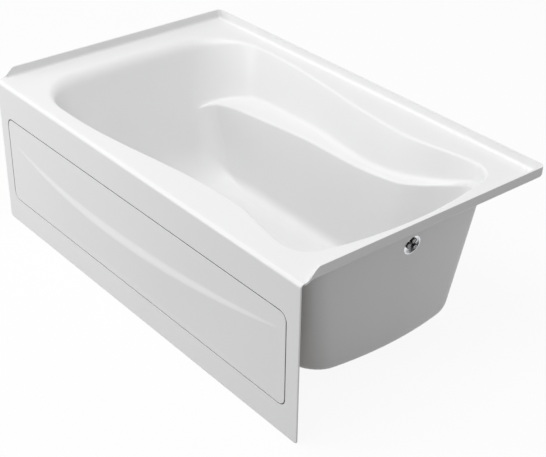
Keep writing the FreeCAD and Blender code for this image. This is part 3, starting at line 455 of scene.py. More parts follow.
tub = {
    "deck": 0.508, "wall": 0.006, "coveRadius": 0.010, "support": 0.003, "edgeBevel": 0.0012,
    "flangeRise": 0.032, "flangeRow": 0.55, "flangeFoot": 0.016, "flangeSetback": 0.064,
    "flangeFlare": 3, "flangeCorner": 0.001,
    "apronTopRound": 0.012, "apronEdgeRound": 0.0035, "apronCorner": 0.012,
}
basin = {
    "backrestDeck": 0.112, "drainDeck": 0.056, "seatHalf": 0.392, "seatFromLeft": 0.378,
    "waistHalf": 0.324, "waistFromRight": 0.437, "drainHalf": 0.360, "drainWidestFromRight": 0.162,
    "leftCorner": 0.170, "rightCorner": 0.060, "backrestBow": 3.0, "drainBow": 1.22,
    "rimRound": 0.009, "rimRoundBackrest": 0.034, "rimShare": 0.5,
    "backrestLean": 0.452, "drainEndLean": 0.135, "upperSideLean": 0.27,
    "lowerSideLean": 0.08, "lowerSideLeanAtDrain": 0.03,
    "bottomHalf": 0.232, "bottomHalfAtDrain": 0.338, "flareFromRight": 0.394, "flareRun": 0.270,
    "bottomNarrowing": 0.014, "narrowingFromTip": 0.130, "narrowingRun": 0.300,
    "cornerAtFloor": 0.080, "cornerAtArmrest": 0.060, "cornerTightening": 0.3,
    "floorRound": 0.038, "backrestFootRound": 0.130, "backrestFootInset": 0.110, "floorRow": 0.002,
    "floorAtDrain": 0.052, "floorSlope": 10 / 928, "drainFromRight": 0.234,
    "wellRadius": 0.043, "wellDepth": 0.003, "wellRound": 0.003, "wellFoot": 0.002, "drainHole": 0.025,
    "wellOuterRow": 0.0005, "wellInnerRow": 0.005,
    "overflowHeight": 0.421, "overflowHole": 0.030, "overflowPatch": 0.0525,
}
armrest = {
    "height": 0.345, "tipFromLeft": 0.430, "tipRun": 0.230, "tipDrop": 0.045,
    "swell": 0.022, "swellFromLeft": 0.402, "swellRun": 0.380,
    "riseFromRight": 0.642, "riseRadius": 1.500, "belowDeck": 0.020,
    "cove": 0.014, "coveShare": 0.45, "crest": 0.009, "roundShare": 0.4, "fade": 0.025,
}
basinSteps = {"rim": 10, "wall": 9, "round": 6, "ledge": 6, "lowerWall": 28, "foot": 14, "well": 6,
              "overflow": 6}
leftEnd = shellLow[0]
rightEnd = shellHigh[0]
backPlane = shellHigh[1]
apronPlane = shellLow[1]
deck = tub["deck"]
drainX = rightEnd - basin["drainFromRight"]
rimLeft = leftEnd + basin["backrestDeck"]
rimRight = rightEnd - basin["drainDeck"]
tipX = leftEnd + armrest["tipFromLeft"]
stationCounts = {"left end": 10, "left corner": 18, "side": 48, "right corner": 14, "right end": 22}


def floorHeight(x):
    return basin["floorAtDrain"] + basin["floorSlope"] * (drainX - x)


def rimHalfWidth(x):
    seatX = leftEnd + basin["seatFromLeft"]
    waistX = rightEnd - basin["waistFromRight"]
    wideX = rightEnd - basin["drainWidestFromRight"]
    if x < waistX:
        return mix(basin["seatHalf"], basin["waistHalf"], ease((x - seatX) / (waistX - seatX)))
    return mix(basin["waistHalf"], basin["drainHalf"], ease((x - waistX) / (wideX - waistX)))


def bottomHalfWidth(x, z):
    flare = ease((x - rightEnd + basin["flareFromRight"]) / basin["flareRun"])
    base = mix(basin["bottomHalf"], basin["bottomHalfAtDrain"], flare)
    narrowTo = tipX + basin["narrowingFromTip"]
    base -= basin["bottomNarrowing"] * ease((narrowTo - x) / basin["narrowingRun"])
    lean = mix(basin["lowerSideLean"], basin["lowerSideLeanAtDrain"], flare)
    return base + lean * (z - basin["floorAtDrain"] - basin["floorRound"])


def armrestHeight(x):
    z = armrest["height"]
    if x < tipX:
        z -= armrest["tipDrop"] * min(1.0, (tipX - x) / armrest["tipRun"]) ** 2
    swellFrom = leftEnd + armrest["swellFromLeft"]
    z += armrest["swell"] * ease((x - swellFrom) / armrest["swellRun"])
    riseX = rightEnd - armrest["riseFromRight"]
    if x > riseX:
        radius = armrest["riseRadius"]
        z += radius - sqrt(radius ** 2 - min(x - riseX, 0.9 * radius) ** 2)
    return min(z, deck - armrest["belowDeck"])


def cornerPoint(side, endX, radius, bow, halfWidth, share):
    # on a round corner between a bowed end (share 0) and a side that may lean (share 1)
    lean = 0.0
    x = endX - side * radius
    for _ in range(4):  # the corner's place and the side's lean there settle together
        lean = side * atan((halfWidth(x + nudge) - halfWidth(x - nudge)) / (2 * nudge))
        x = endX - side * (radius * (1 + sin(lean)) + halfWidth(x) ** 2 / (2 * bow))
    angle = (quarter + lean) * share
    y = halfWidth(x) - radius * cos(lean) + radius * sin(angle)
    return Vector((endX - side * (radius * (1 - cos(angle)) + y * y / (2 * bow)), y, 0))


def outlinePoint(station, halfWidth, leftX, rightX, leftRadius, rightRadius):
    # a station is a part of the half outline and the share along it, from the backrest to the drain end
    part, share = station
    ends = {"left": (-1, leftX, leftRadius, basin["backrestBow"]),
            "right": (1, rightX, rightRadius, basin["drainBow"])}
    if part == "side":
        start = cornerPoint(*ends["left"], halfWidth, 1)
        end = cornerPoint(*ends["right"], halfWidth, 1)
        x = mix(start.x, end.x, share)
        return Vector((x, halfWidth(x), 0))
    which, kind = part.split()
    side, endX, radius, bow = ends[which]
    along = share if which == "left" else 1 - share
    if kind == "corner":
        return cornerPoint(side, endX, radius, bow, halfWidth, along)
    y = cornerPoint(side, endX, radius, bow, halfWidth, 0).y * along
    return Vector((endX - side * y * y / (2 * bow), y, 0))


def upperPoint(station, z, grow=0.0):  # on the wall above the armrests
    down = deck - z
    point = outlinePoint(
        station, lambda x: rimHalfWidth(x) - basin["upperSideLean"] * down + grow,
        rimLeft + basin["backrestLean"] * down - grow, rimRight - basin["drainEndLean"] * down + grow,
        basin["leftCorner"] + grow, basin["rightCorner"] + grow)
    point.z = z
    return point


def lowerPoint(station, z, sideInset=0.0, footInset=0.0):  # on the wall below the armrests
    down = deck - z
    share = (z - basin["floorAtDrain"]) / (armrest["height"] - basin["floorAtDrain"])
    radius = mix(basin["cornerAtFloor"], basin["cornerAtArmrest"], max(0.0, min(1.0, share)))
    radius -= basin["cornerTightening"] * sideInset
    point = outlinePoint(
        station, lambda x: bottomHalfWidth(x, z) - sideInset,
        rimLeft + basin["backrestLean"] * down + footInset,
        rimRight - basin["drainEndLean"] * down - sideInset, radius, radius)
    point.z = z
    return point


def settled(heightAt, pointAt, z):  # the height where a wall that leans meets a height that varies with x
    for _ in range(5):
        z = heightAt(pointAt(z).x)
    return z


def backShare(station):  # 1 across the backrest, fading round its corners
    part, share = station
    return {"left end": 1.0, "left corner": 1 - ease(share)}.get(part, 0.0)


def basinColumn(station):
    # the basin's section at one station, from the deck down to the floor
    armrestZ = settled(armrestHeight, lambda z: upperPoint(station, z), armrest["height"])
    crestZ = settled(armrestHeight, lambda z: lowerPoint(station, z), armrestZ)
    floorZ = settled(floorHeight, lambda z: lowerPoint(station, z), basin["floorAtDrain"])
    back = backShare(station)
    cove = min(armrest["cove"], armrest["coveShare"] * (deck - armrestZ))
    rimRound = mix(basin["rimRound"], basin["rimRoundBackrest"], back)
    onDeck = upperPoint(station, deck, rimRound)
    rimEnd = upperPoint(station, deck - min(rimRound, basin["rimShare"] * (deck - armrestZ - cove)))
    wallEnd = upperPoint(station, armrestZ + cove)
    coveCorner = upperPoint(station, armrestZ)
    crestCorner = lowerPoint(station, crestZ)
    crestEnd = lowerPoint(station, crestZ - armrest["crest"])
    inward = (upperPoint(station, armrestZ, -nudge) - coveCorner).normalized()
    width = max((crestCorner - coveCorner).dot(inward), 1e-5)
    most = armrest["roundShare"]
    flatFrom = mix(coveCorner, crestCorner, min(cove / width, most))
    flatTo = mix(crestCorner, coveCorner, min(armrest["crest"] / width, most))
    steps = basinSteps
    ledge = bend(wallEnd, coveCorner, flatFrom, steps["round"]) + line(flatFrom, flatTo, steps["ledge"])
    ledge += bend(flatTo, crestCorner, crestEnd, steps["round"])
    plain = line(wallEnd, crestEnd, len(ledge))  # where the ledge runs out
    share = ease(width / armrest["fade"])
    ledge = [mix(a, b, share) for a, b in zip(plain, ledge)]
    footStart = lowerPoint(station, floorZ + mix(basin["floorRound"], basin["backrestFootRound"], back))
    floorEdge, floorInner = (
        lowerPoint(station, floorZ, basin["floorRound"] + inset, basin["backrestFootInset"] + inset)
        for inset in (0.0, basin["floorRow"]))
    for point in (floorEdge, floorInner):
        point.z = floorHeight(point.x)
    column = [upperPoint(station, deck, rimRound + tub["support"]), onDeck]
    column += bend(onDeck, upperPoint(station, deck), rimEnd, steps["rim"])
    column += line(rimEnd, wallEnd, steps["wall"]) + ledge + line(crestEnd, footStart, steps["lowerWall"])
    column += bend(footStart, lowerPoint(station, floorZ), floorEdge, steps["foot"])
    column.append(floorInner)
    return column


def basinColumns():
    stations = []
    for part, count in stationCounts.items():
        stations += [(part, k / count) for k in range(count)]
    stations.append(("right end", 1.0))
    half = [basinColumn(station) for station in stations]
    for column in (half[0], half[-1]):
        for point in column:
            point.y = 0.0
    mirrored = [[Vector((p.x, -p.y, p.z)) for p in column] for column in half[-2:0:-1]]
    return half + mirrored


def endWallX(y, z):  # the drain-end wall, seen along X
    return rimRight - basin["drainEndLean"] * (deck - z) - y * y / (2 * basin["drainBow"])


def openOverflow(sheet):
    # opens the end wall round the overflow and closes it again to a true circle
    bm = sheet.bm
    height = basin["overflowHeight"]
    reach = basin["overflowPatch"]
    endWall = rimRight - 0.1  # only the drain-end wall lies beyond it

    def near(point):
        return point.x > endWall and abs(point.y) < reach and abs(point.z - height) < reach

    doomed = [face for face in bm.faces if all(near(vert.co) for vert in face.verts)]
    bmesh.ops.delete(bm, geom=doomed, context="FACES")
    border = set()
    for edge in bm.edges:
        middle = (edge.verts[0].co + edge.verts[1].co) / 2
        if near(middle) and len(edge.link_faces) == 1:
            border.update(edge.verts)
    ring = sorted(border, key=lambda v: atan2(v.co.z - height, v.co.y))
    tilt = cos(atan(basin["drainEndLean"]))
    rows = []
    steps = basinSteps["overflow"]
    for k in range(steps + 1):
        row = []
        for vert in ring:
            across, up = polar(basin["overflowHole"], atan2(vert.co.z - height, vert.co.y))
            y = mix(vert.co.y, across, k / steps)
            z = mix(vert.co.z, height + up * tilt, k / steps)
            row.append(Vector((endWallX(y, z), y, z)) if k else vert.co.copy())
        rows.append(row)
    sheet.grid(rows, closed=True)


def circle(radius, heightAt, count=64):  # round the drain
    points = [polar(radius, angle) for angle in fullCircle(count)]
    return [Vector((drainX + x, y, heightAt(drainX + x))) for x, y in points]


def addBasin(sheet):
    columns = basinColumns()
    rows = [[column[k] for column in columns] for k in range(len(columns[0]))]
    sheet.grid(rows, closed=True)
    sheet.weld()
    openOverflow(sheet)
    wellZ = basin["floorAtDrain"] - basin["wellDepth"]
    outer = basin["wellRadius"] + basin["wellRound"]
    lip = [circle(outer + basin["wellOuterRow"], floorHeight), circle(outer, floorHeight)]
    for t in line(0.0, 1.0, basinSteps["well"]):
        drop = ease(t)
        radius = mix(outer, basin["wellRadius"] - basin["wellFoot"], t)
        lip.append(circle(radius, lambda x: mix(floorHeight(x), wellZ, drop)))
    for radius in (basin["wellRadius"] - basin["wellInnerRow"], basin["drainHole"]):
        lip.append(circle(radius, lambda x: wellZ))
    sheet.grid(lip, closed=True)
    sheet.fill(rows[-1], lip[0])
    return rows[0]


deckSteps = {"edge": 5, "cove": 6, "corner": 8, "foot": 16, "side": 24, "back": 40, "front": 60,
             "recess": 4}
edgeRound = quarterRound(tub["apronEdgeRound"], deckSteps["edge"])
flatInsets = [0.019, 0.016, 0.012, 0.009]  # rows of the deck's flat edge, in from the side
sideInsets = flatInsets + [inset for inset, _ in edgeRound]
frontRows = apronPlane + tub["apronTopRound"]
flip = Vector((-1, 1))


def flangeRows():
    # outward and up from the deck's support line, with as many rows as the flat deck edge has
    rows = [(0.0, 0.0)]
    radius, rise = tub["coveRadius"], tub["flangeRise"]
    for angle in quarterAngles(deckSteps["cove"]):
        rows.append((tub["support"] + radius * sin(angle), radius * (1 - cos(angle))))
    outermost = rows[-1][0]
    return rows + [(outermost, tub["flangeRow"] * rise), (outermost, rise)]


def flangePosts():
    # (place on the deck, outward, share of the flange's height) from front left round to front right
    inset = sideInsets[0]
    low = Vector((leftEnd + inset, frontRows + tub["support"]))
    high = Vector((rightEnd - inset, backPlane - inset))
    footY = apronPlane + tub["flangeFoot"]
    headY = apronPlane + tub["flangeSetback"]
    radius = tub["flangeCorner"]
    ys = [low.y] + line(low.y, headY, deckSteps["foot"])
    ys += line(headY, high.y - 2 * radius, deckSteps["side"])
    left = [(Vector((low.x, y)), Vector((-1, 0)), ease((y - footY) / (headY - footY))) for y in ys]
    for angle in quarterAngles(deckSteps["corner"]):
        out = Vector((-cos(angle), sin(angle)))
        left.append((Vector((low.x + radius, high.y - radius)) + out * radius, out, 1.0))
    backXs = line(low.x + radius, high.x - radius, deckSteps["back"])[:-1]
    back = [(Vector((x, high.y)), Vector((0, 1)), 1.0) for x in backXs]
    return left + back + [(p * flip, out * flip, h) for p, out, h in reversed(left)]


def addFlange(sheet):
    posts = flangePosts()
    rows = []
    for k, (out, up) in enumerate(flangeRows()):
        flat = sideInsets[0] - sideInsets[k]
        row = []
        for place, direction, share in posts:
            point = place + direction * mix(flat, out, ease(tub["flangeFlare"] * share))
            row.append(Vector((point.x, point.y, deck + up * share)))
        rows.append(row)
    sheet.grid(rows)
    return rows[0]


def frontColumns(deckXs):
    # (x, how far the edge has turned back) along the front, with the deck's own places between
    left = [(leftEnd + inset, 0.0) for inset in flatInsets]
    left += [(leftEnd + inset, back) for inset, back in edgeRound]
    right = [(-x, turn) for x, turn in left]
    return left[::-1] + [(x, 0.0) for x in deckXs] + right


def addFront(sheet, deckXs):
    radius = tub["apronTopRound"]
    profile = [(frontRows + tub["support"], deck, 0.0)]
    for angle in quarterAngles(deckSteps["corner"]):
        out = sin(angle)
        profile.append((frontRows - radius * out, deck - radius * (1 - cos(angle)), out))
    profile.append((apronPlane, deck - radius - tub["support"], 1.0))
    columns = frontColumns(deckXs)
    rows = [[Vector((x, y + turn * share, z)) for x, turn in columns] for y, z, share in profile]
    sheet.grid(rows)
    return rows[-1]


def apronEdgePosts(top):
    # (x, z) on the apron's outline and the way out of it, down the left, along the foot, up the right
    radius = tub["apronCorner"]
    heights = [top] + line(top, radius, deckSteps["side"])[:-1]
    posts = [(Vector((leftEnd, z)), Vector((-1, 0))) for z in heights]
    for angle in quarterAngles(deckSteps["corner"]):
        out = Vector((-cos(angle), -sin(angle)))
        posts.append((Vector((leftEnd + radius, radius)) + out * radius, out))
    for x in line(leftEnd + radius, 0.0, deckSteps["back"])[:-1]:
        posts.append((Vector((x, 0.0)), Vector((0, -1))))
    mirrored = [(p * flip, out * flip) for p, out in reversed(posts)]
    return posts + [(Vector((0.0, 0.0)), Vector((0, -1)))] + mirrored


def roundedLoop(low, high, radius, grow=0.0, side=30, corner=8):
    # (x, z) points of an upright rectangle with round corners, grown all round
    left, bottom = low[0] - grow, low[1] - grow
    right, top = high[0] + grow, high[1] + grow
    radius += grow
    centres = [(right - radius, top - radius), (left + radius, top - radius),
               (left + radius, bottom + radius), (right - radius, bottom + radius)]
    points = []
    for k, centre in enumerate(centres):
        for j in range(corner + 1):
            points.append(Vector(centre) + Vector(polar(radius, quarter * (k + j / corner))))
        end = Vector(centres[(k + 1) % 4]) + Vector(polar(radius, quarter * (k + 1)))
        steps = side if k % 2 == 0 else side // 3
        points += line(points[-1], end, steps)[:-1]
    return points


def upright(points, y):  # (x, z) points, stood up at one depth
    return [Vector((p.x, y, p.y)) for p in points]


panel = {
    "gap": 0.0035, "corner": 0.025, "sheet": 0.004, "depth": 0.013, "edgeRound": 0.0010,
    "edgeRow": 0.002, "sheetBevel": 0.0006, "frameRound": 0.0008, "frameRow": 0.0025,
    "lipGap": 0.0003, "lip": 0.028, "lipBevel": 0.001, "lipRow": 0.003,
    "relief": 0.006, "reliefPower": 0.75, "shelfFall": 0.034, "shelfFallAtEnds": 0.3,
    "shelfMiddleFromLeft": 0.560, "shelfHeight": 0.264, "shelfLeftHeight": 0.320,
    "shelfRightHeight": 0.345,
    "crestBelow": 0.035, "crestAbove": 0.004, "crestFromFoot": 0.04, "crestFromTop": 0.01,
    "clipWidth": 0.012, "clipClearance": 0.0002, "clipColumns": 3, "edgeWall": 0.005,
}
panelSteps = {"columns": 150, "corner": 10, "foot": 24, "crest": 26, "top": 10, "edge": 5}
panelOutline = ((panelLow[0], panelLow[2]), (panelHigh[0], panelHigh[2]))


def clipPlaces():  # (x, z) in the middle of the lip, above and below the window
    count = panel["clipColumns"]
    length = panelHigh[0] - panelLow[0]
    inset = (panel["edgeWall"] - panel["gap"] + panel["lip"]) / 2
    heights = (panelHigh[2] - inset, panelLow[2] + inset)
    return [(panelLow[0] + length * (k + 0.5) / count, z) for k in range(count) for z in heights]


def addApron(sheet, topRow):
    top = deck - tub["apronTopRound"] - tub["support"]
    posts = apronEdgePosts(top)
    flatInset = tub["apronEdgeRound"] + tub["support"]
    rows = [upright([p - out * inset for p, out in posts], apronPlane + back)
            for inset, back in [(flatInset, 0.0)] + edgeRound]
    sheet.grid(rows)
    # the recess: a small round into the wall, the wall, a bevel and the lip
    wallRound, gap = panel["frameRound"], panel["gap"]
    seat = apronPlane + panel["depth"] + panel["lipGap"]
    edge = [(wallRound + panel["frameRow"], 0.0)] + quarterRound(wallRound, deckSteps["recess"])
    recess = [(gap + inset, apronPlane + back) for inset, back in edge]
    bevel = panel["lipBevel"]
    recess += [(gap, seat - bevel), (gap - bevel, seat), (gap - panel["lipRow"], seat)]
    loops = [upright(roundedLoop(*panelOutline, panel["corner"], grow), y) for grow, y in recess]
    sheet.grid(loops, closed=True)
    inner = [p for p in topRow if abs(p.x) <= rightEnd - flatInset + weldDistance / 2]
    sheet.fill(rows[0] + inner[::-1][1:-1], loops[0])
    window = upright(roundedLoop(*panelOutline, panel["corner"], gap - panel["lip"], corner=4), seat)
    half = panel["clipWidth"] / 2 + panel["clipClearance"]
    turns = ((-half, -half), (half, -half), (half, half), (-half, half))
    holes = [[Vector((x + across, seat, z + up)) for across, up in turns] for x, z in clipPlaces()]
    sheet.fill(loops[-1], window, *holes)


def makeShell():
    sheet = SheetMesh()
    rimLoop = addBasin(sheet)
    cove = addFlange(sheet)
    inset = sideInsets[0]
    deckXs = line(leftEnd + inset, rightEnd - inset, deckSteps["front"])[:-1]
    topRow = addFront(sheet, deckXs)
    front = [Vector((x, cove[0].y, deck)) for x in deckXs]
    sheet.fill(cove + front[::-1], rimLoop)
    addApron(sheet, topRow)
    sheet.weld()
    onDeck = Vector((0, frontRows + 0.025, deck))  # between the apron and the basin's rim
    sheet.face(onDeck, Vector((0, 0, 1)))
    shell = sheet.make("bathMoulding", "acrylic")
    thicken(shell, tub["wall"])
    softenEdges(shell, tub["edgeBevel"], degrees=50)
    addModifier(shell, "WEIGHTED_NORMAL", weight=50, keep_sharp=True)
    applyModifiers(shell)
    for vert in shell.data.vertices:  # nothing stands past the side walls
        vert.co.x = max(leftEnd, min(rightEnd, vert.co.x))
    rideAs(shell, "tub", "tub_shell")
    return shell


shell = makeShell()
print("moulding made:", len(shell.data.polygons), "faces")


def shelfHeight(x):  # the curved relief's upper line across the panel
    middle = leftEnd + panel["shelfMiddleFromLeft"]
    end, endHeight = panelLow[0], panel["shelfLeftHeight"]
    if x > middle:
        end, endHeight = panelHigh[0], panel["shelfRightHeight"]
    return mix(panel["shelfHeight"], endHeight, ((x - middle) / (end - middle)) ** 2)


def panelSurface(x, z):
    # how far forward the panel stands: nothing above the shelf, most just below it, none at the foot
    margin = panel["corner"]
    share = (x - panelLow[0] - margin) / (panelHigh[0] - panelLow[0] - 2 * margin)
    if share <= 0 or share >= 1:
        return 0.0
    strength = sin(pi * share)
    top = shelfHeight(x)
    fall = panel["shelfFall"] * mix(panel["shelfFallAtEnds"], 1.0, strength)
    bottom = panelLow[2] + margin
    if z >= top or z <= bottom:
        return 0.0
    forward = panel["relief"] * strength ** panel["reliefPower"]
    if z > top - fall:
        return forward * ease((top - z) / fall)
    return forward * (z - bottom) / (top - fall - bottom)


def panelEdge(border, back, out):
    # the panel's outline, moved outward in its plane and back from the apron
    low, high = panelOutline
    corner = panel["corner"]
    points = []
    for p in border:
        core = Vector((min(max(p.x, low[0] + corner), high[0] - corner), p.y,
                       min(max(p.z, low[1] + corner), high[1] - corner)))
        away = (p - core).normalized()
        points.append(Vector((p.x + away.x * out, apronPlane + back, p.z + away.z * out)))
    return points


def makePanel():
    sheet = SheetMesh()
    low, high = panelOutline
    steps = panelSteps
    inset = panel["edgeRound"] + panel["edgeRow"]
    corner = panel["corner"] - inset
    inCorner = [corner * (1 - cos(angle)) for angle in quarterAngles(steps["corner"])[:-1]]
    left, right = low[0] + inset, high[0] - inset
    xs = [left + out for out in inCorner] + [left + corner]
    xs += line(left + corner, right - corner, steps["columns"])
    xs += [right - out for out in reversed(inCorner)]
    columns = []
    for x in xs:
        near = min(x - left, right - x, corner)
        rise = corner - sqrt(max(0.0, corner ** 2 - (corner - near) ** 2))
        bottom, top = low[1] + inset + rise, high[1] - inset - rise
        crest = min(max(shelfHeight(x), bottom + panel["crestFromFoot"]), top - panel["crestFromTop"])
        below, above = crest - panel["crestBelow"], crest + panel["crestAbove"]
        zs = [bottom] + line(bottom, below, steps["foot"]) + line(below, above, steps["crest"])
        zs += line(above, top, steps["top"])
        columns.append([Vector((x, apronPlane - panelSurface(x, z), z)) for z in zs])
    sheet.grid(columns)
    border = [column[0] for column in columns] + columns[-1][1:-1]
    border += [column[-1] for column in reversed(columns)] + columns[0][-2:0:-1]
    loops = [border]
    for fromEdge, back in quarterRound(panel["edgeRound"], steps["edge"]):
        loops.append(panelEdge(border, back, inset - fromEdge))
    loops.append(panelEdge(border, panel["depth"], inset))
    sheet.grid(loops, closed=True)
    sheet.weld()
    sheet.face(Vector((0, apronPlane, shelfHeight(0))), Vector((0, -1, 0)))
    made = sheet.make("accessPanel", "panel_acrylic")
    thicken(made, panel["sheet"])
    softenEdges(made, panel["sheetBevel"], degrees=50)
    applyModifiers(made)
    rideAs(made, "panel", "access_panel")


makePanel()
print("access panel made")


fixings = {"stud": 0.003, "foot": 0.002, "shank": 0.0213, "clip": 0.012, "clipLength": 0.012,
           "bore": 0.0032}
overflow = {
    "below": 0.087, "plateRadius": 0.039, "plateFlat": 0.031, "plateThickness": 0.005,
    "plateShoulder": 0.6, "plateCurve": 1.7, "plateSteps": 6, "plateBevel": 0.0005,
    "gasket": 0.003, "clearance": 0.0001,
    "ringRadius": 0.0297, "wall": 0.0025, "ringDepth": 0.009, "webBelow": 0.012, "webSteps": 60,
    "bridgeBevel": 0.0003, "posts": ((0.017, 0.0), (0.007, -0.017), (-0.007, 0.009)),
    "postRadius": 0.009, "postBore": 0.0055, "postLength": 0.013,
    "screwRadius": 0.0045, "screwHead": 0.003, "screwSocket": 0.5, "screwSocketDepth": 0.0014,
}
overflowTilt = atan(basin["drainEndLean"])
overflowAxis = Vector((cos(overflowTilt), 0, -sin(overflowTilt)))
overflowUp = Vector((sin(overflowTilt), 0, cos(overflowTilt)))
overflowCentre = Vector((endWallX(0, deck - overflow["below"]), 0, deck - overflow["below"]))
bowGap = overflow["plateRadius"] ** 2 / (2 * basin["drainBow"]) + overflow["clearance"]
plateBack = -bowGap - overflow["gasket"]
bridgeFrom = plateBack + overflow["clearance"]


def overflowPoint(up, back, along):  # from the middle of the overflow, in its own tilted axes
    return overflowCentre + overflowUp * up + Vector((0, back, 0)) + overflowAxis * along


def spin(sheet, profile, start, count=72):
    # a profile of (radius, distance along the overflow's axis), turned round that axis
    rows = []
    for radius, along in profile:
        rows.append([overflowPoint(*polar(radius, a), start + along) for a in fullCircle(count)])
    sheet.grid(rows, closed=True)


def finishPiece(sheet, name, slot, node, bevel):
    sheet.weld()
    bmesh.ops.recalc_face_normals(sheet.bm, faces=sheet.bm.faces)
    made = sheet.make(name, slot)
    softenEdges(made, bevel, degrees=40)
    addModifier(made, "WEIGHTED_NORMAL", weight=50, keep_sharp=True)
    applyModifiers(made)
    rideAs(made, "tub", node)


def makeFaceplate():
    flat, radius, thickness = overflow["plateFlat"], overflow["plateRadius"], overflow["plateThickness"]
    sheet = SheetMesh()
    profile = [(0, 0), (0.5 * flat, 0), (flat, 0)]
    for share in line(0.0, 1.0, overflow["plateSteps"]):
        back = overflow["plateShoulder"] * thickness * share ** overflow["plateCurve"]
        profile.append((mix(flat, radius, share), back))
    profile += [(radius, thickness), (0.5 * radius, thickness), (0, thickness)]
    spin(sheet, profile, plateBack - thickness)
    finishPiece(sheet, "overflowFaceplate", "drain_chrome", "overflow_faceplate", overflow["plateBevel"])


def makeBridge():
    sheet = SheetMesh()
    outer, wall, depth = overflow["ringRadius"], overflow["wall"], overflow["ringDepth"]
    inner = outer - wall
    spin(sheet, [(inner, 0), (outer, 0), (outer, depth), (inner, depth), (inner, 0)], bridgeFrom)
    reach = outer - 0.5 * wall
    drop = acos(-overflow["webBelow"] / reach)
    angles = [-drop] + line(-drop, drop, overflow["webSteps"])
    sides = []
    for along in (0.0, wall):  # the web, cut off straight below the posts
        side = [overflowPoint(*polar(reach, a), bridgeFrom + along) for a in angles]
        sheet.fill(side)
        sides.append(side)
    sheet.grid(sides, closed=True)
    finishPiece(sheet, "overflowBridge", "bridge_metal", "overflow_bridge", overflow["bridgeBevel"])


def makeSocketed(name, material, node, start, sizes):
    # round pieces with a round socket in the end, one on each post of the overflow
    tree = GeometryTree(name + "Nodes", sizes)
    size = tree.inputs
    body = tree.cylinder(size["Radius"], size["Length"])
    rim = tree.add("GeometryNodeExtrudeMesh", {
        "Mesh": body[0], "Selection": body[1], "Offset Scale": 0.0}, mode="FACES")
    inner = tree.add("GeometryNodeScaleElements", {
        "Geometry": rim[0], "Selection": rim[1], "Scale": size["Socket"]}, domain="FACE")[0]
    sunk = tree.add("GeometryNodeExtrudeMesh", {
        "Mesh": inner, "Selection": rim[1], "Offset Scale": 0.0 - size["SocketDepth"]}, mode="FACES")[0]
    merged = tree.add("GeometryNodeMergeByDistance", {
        "Geometry": sunk, "Distance": weldDistance / 2})[0]
    tree.result(tree.lifted(merged, size["Length"] * 0.5), (0, quarter + overflowTilt, 0), material)
    places = [overflowPoint(up, back, start) for up, back in overflow["posts"]]
    rideAs(tree.grow(name, places), "tub", node)


def makeStuds():
    tree = GeometryTree("studNodes", {
        "FootWidth": panel["clipWidth"], "FootThickness": fixings["foot"], "Radius": fixings["stud"],
        "Length": fixings["shank"]})
    size = tree.inputs
    foot = tree.block(size["FootWidth"], size["FootThickness"])
    shank = tree.lifted(tree.cylinder(size["Radius"], size["Length"])[0], size["Length"] * 0.5)
    whole = tree.add("GeometryNodeMeshBoolean", {"Mesh 2": [foot, shank]}, operation="UNION")[0]
    tree.result(whole, (-quarter, 0, 0), finishes["bright_steel"])
    places = [Vector((x, apronPlane + panel["sheet"], z)) for x, z in clipPlaces()]
    rideAs(tree.grow("panelStuds", places), "panel", "panel_studs")


def makeClips():
    tree = GeometryTree("clipNodes", {
        "Width": fixings["clip"], "Length": fixings["clipLength"], "Bore": fixings["bore"]})
    size = tree.inputs
    block = tree.block(size["Width"], size["Length"])
    bore = tree.cylinder(size["Bore"], size["Length"] * 4)[0]
    bored = tree.add("GeometryNodeMeshBoolean", {"Mesh 1": block, "Mesh 2": bore},
                     operation="DIFFERENCE")[0]
    tree.result(bored, (-quarter, 0, 0), finishes["clip_plastic"])
    places = [Vector((x, apronPlane + panel["depth"] + panel["lipGap"], z)) for x, z in clipPlaces()]
    rideAs(tree.grow("panelClips", places), "tub", "panel_clips")


makeFaceplate()
makeBridge()
postSizes = {"Radius": overflow["postRadius"], "Length": overflow["postLength"],
             "Socket": overflow["postBore"] / overflow["postRadius"],
             "SocketDepth": overflow["postLength"] - overflow["wall"]}
# the posts' material paints shade on their outsides and a highlight in their bores
paintedShadePostFinish = newMaterial("postZincPaintedShade", paintedShadePostMetal, paintedShadePostLook)
makeSocketed("overflowPosts", paintedShadePostFinish, "overflow_bridge", bridgeFrom, postSizes)
screwSizes = {"Radius": overflow["screwRadius"], "Length": overflow["screwHead"],
              "Socket": overflow["screwSocket"], "SocketDepth": overflow["screwSocketDepth"]}
screwSlot = nodeSlots["overflow_screws"]
makeSocketed("overflowScrews", finishes[screwSlot], "overflow_screws",
             bridgeFrom + overflow["wall"], screwSizes)
makeStuds()
makeClips()
print("fixings and overflow made")


studio = {
    "worldStrength": 0.46, "keyPlace": (-0.3, -1.9, 6.7), "keySize": 5.0, "keyPower": 262.0,
    "fillPlace": (-2.2, -3.5, 1.4), "fillSize": 2.0, "fillPower": 50.0, "lampsAim": (0, 0, 0.3),
    "floorSize": 40.0, "floorGrey": 0.36, "floorShown": 0.8, "floorGlow": 0.92,
}
cameraSetup = {
    "place": (2.6634, -2.1204, 2.1969), "yaw": -50.305, "pitch": 31.130, "roll": 0.847, "lens": 82.18,
    "sensor": 36.0,
}


def seenRays(tree):  # 1 for camera, glossy and transmission rays
    rays = tree.add("ShaderNodeLightPath")
    return (rays[0] + rays[3] + rays[6]).clamped()


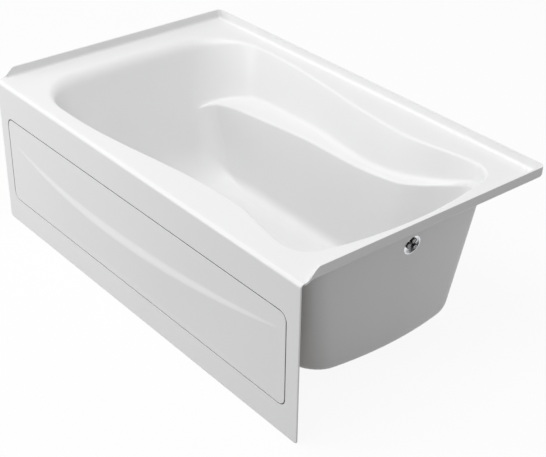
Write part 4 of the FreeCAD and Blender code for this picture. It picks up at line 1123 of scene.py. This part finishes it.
def paleFloor(tree):
    # white where it is seen, but for the object's faint shadow, and grey where it lights the object
    white = tree.add("ShaderNodeEmission", {"Color": (1, 1, 1), "Strength": 1.0})[0]
    matt, pale = (tree.add("ShaderNodeBsdfDiffuse", {"Color": (studio[key],) * 3})[0]
                  for key in ("floorGrey", "floorShown"))
    shown = tree.add("ShaderNodeMixShader", {0: studio["floorGlow"], 1: pale, 2: white})[0]
    surface = tree.add("ShaderNodeMixShader", {0: seenRays(tree), 1: matt, 2: shown})[0]
    tree.add("ShaderNodeOutputMaterial", {"Surface": surface})


def makeFloor():
    bm = bmesh.new()
    bmesh.ops.create_grid(bm, x_segments=2, y_segments=2, size=studio["floorSize"] / 2)
    floor = meshObject("floor", bm, newMaterial("paleFloor", paleFloor))


def makeWorld():
    world = bpy.data.worlds.new("studio")
    bpy.context.scene.world = world
    tree = NodeTree(world)
    strength = seenRays(tree) * (1 - studio["worldStrength"]) + studio["worldStrength"]
    sky = tree.add("ShaderNodeBackground", {"Color": (1, 1, 1), "Strength": strength})[0]
    tree.add("ShaderNodeOutputWorld", {"Surface": sky})


def makeLight(name):
    data = bpy.data.lights.new(name, "AREA")
    data.shape = "DISK"
    data.size = studio[name + "Size"]
    data.energy = studio[name + "Power"]
    light = addObject(name, data)
    light.location = studio[name + "Place"]
    aim = Vector(studio["lampsAim"]) - light.location
    light.rotation_euler = aim.to_track_quat("-Z", "Y").to_euler()


def makeCamera():
    data = bpy.data.cameras.new("camera")
    data.lens = cameraSetup["lens"]
    data.sensor_width = cameraSetup["sensor"]
    camera = addObject("camera", data)
    yaw, pitch, roll = (radians(cameraSetup[key]) for key in ("yaw", "pitch", "roll"))
    flat = cos(pitch)
    forward = Vector((sin(yaw) * flat, cos(yaw) * flat, -sin(pitch)))
    level = Vector((cos(yaw), -sin(yaw), 0))
    over = level.cross(forward)
    right = level * cos(roll) + over * sin(roll)
    up = over * cos(roll) - level * sin(roll)
    turn = Matrix((right, up, -forward)).transposed().to_4x4()
    camera.matrix_world = Matrix.Translation(cameraSetup["place"]) @ turn
    bpy.context.scene.camera = camera


makeFloor()
makeWorld()
makeLight("key")
makeLight("fill")
makeCamera()
bpy.context.scene.view_settings.view_transform = "Standard"
print("stage, light and camera made")
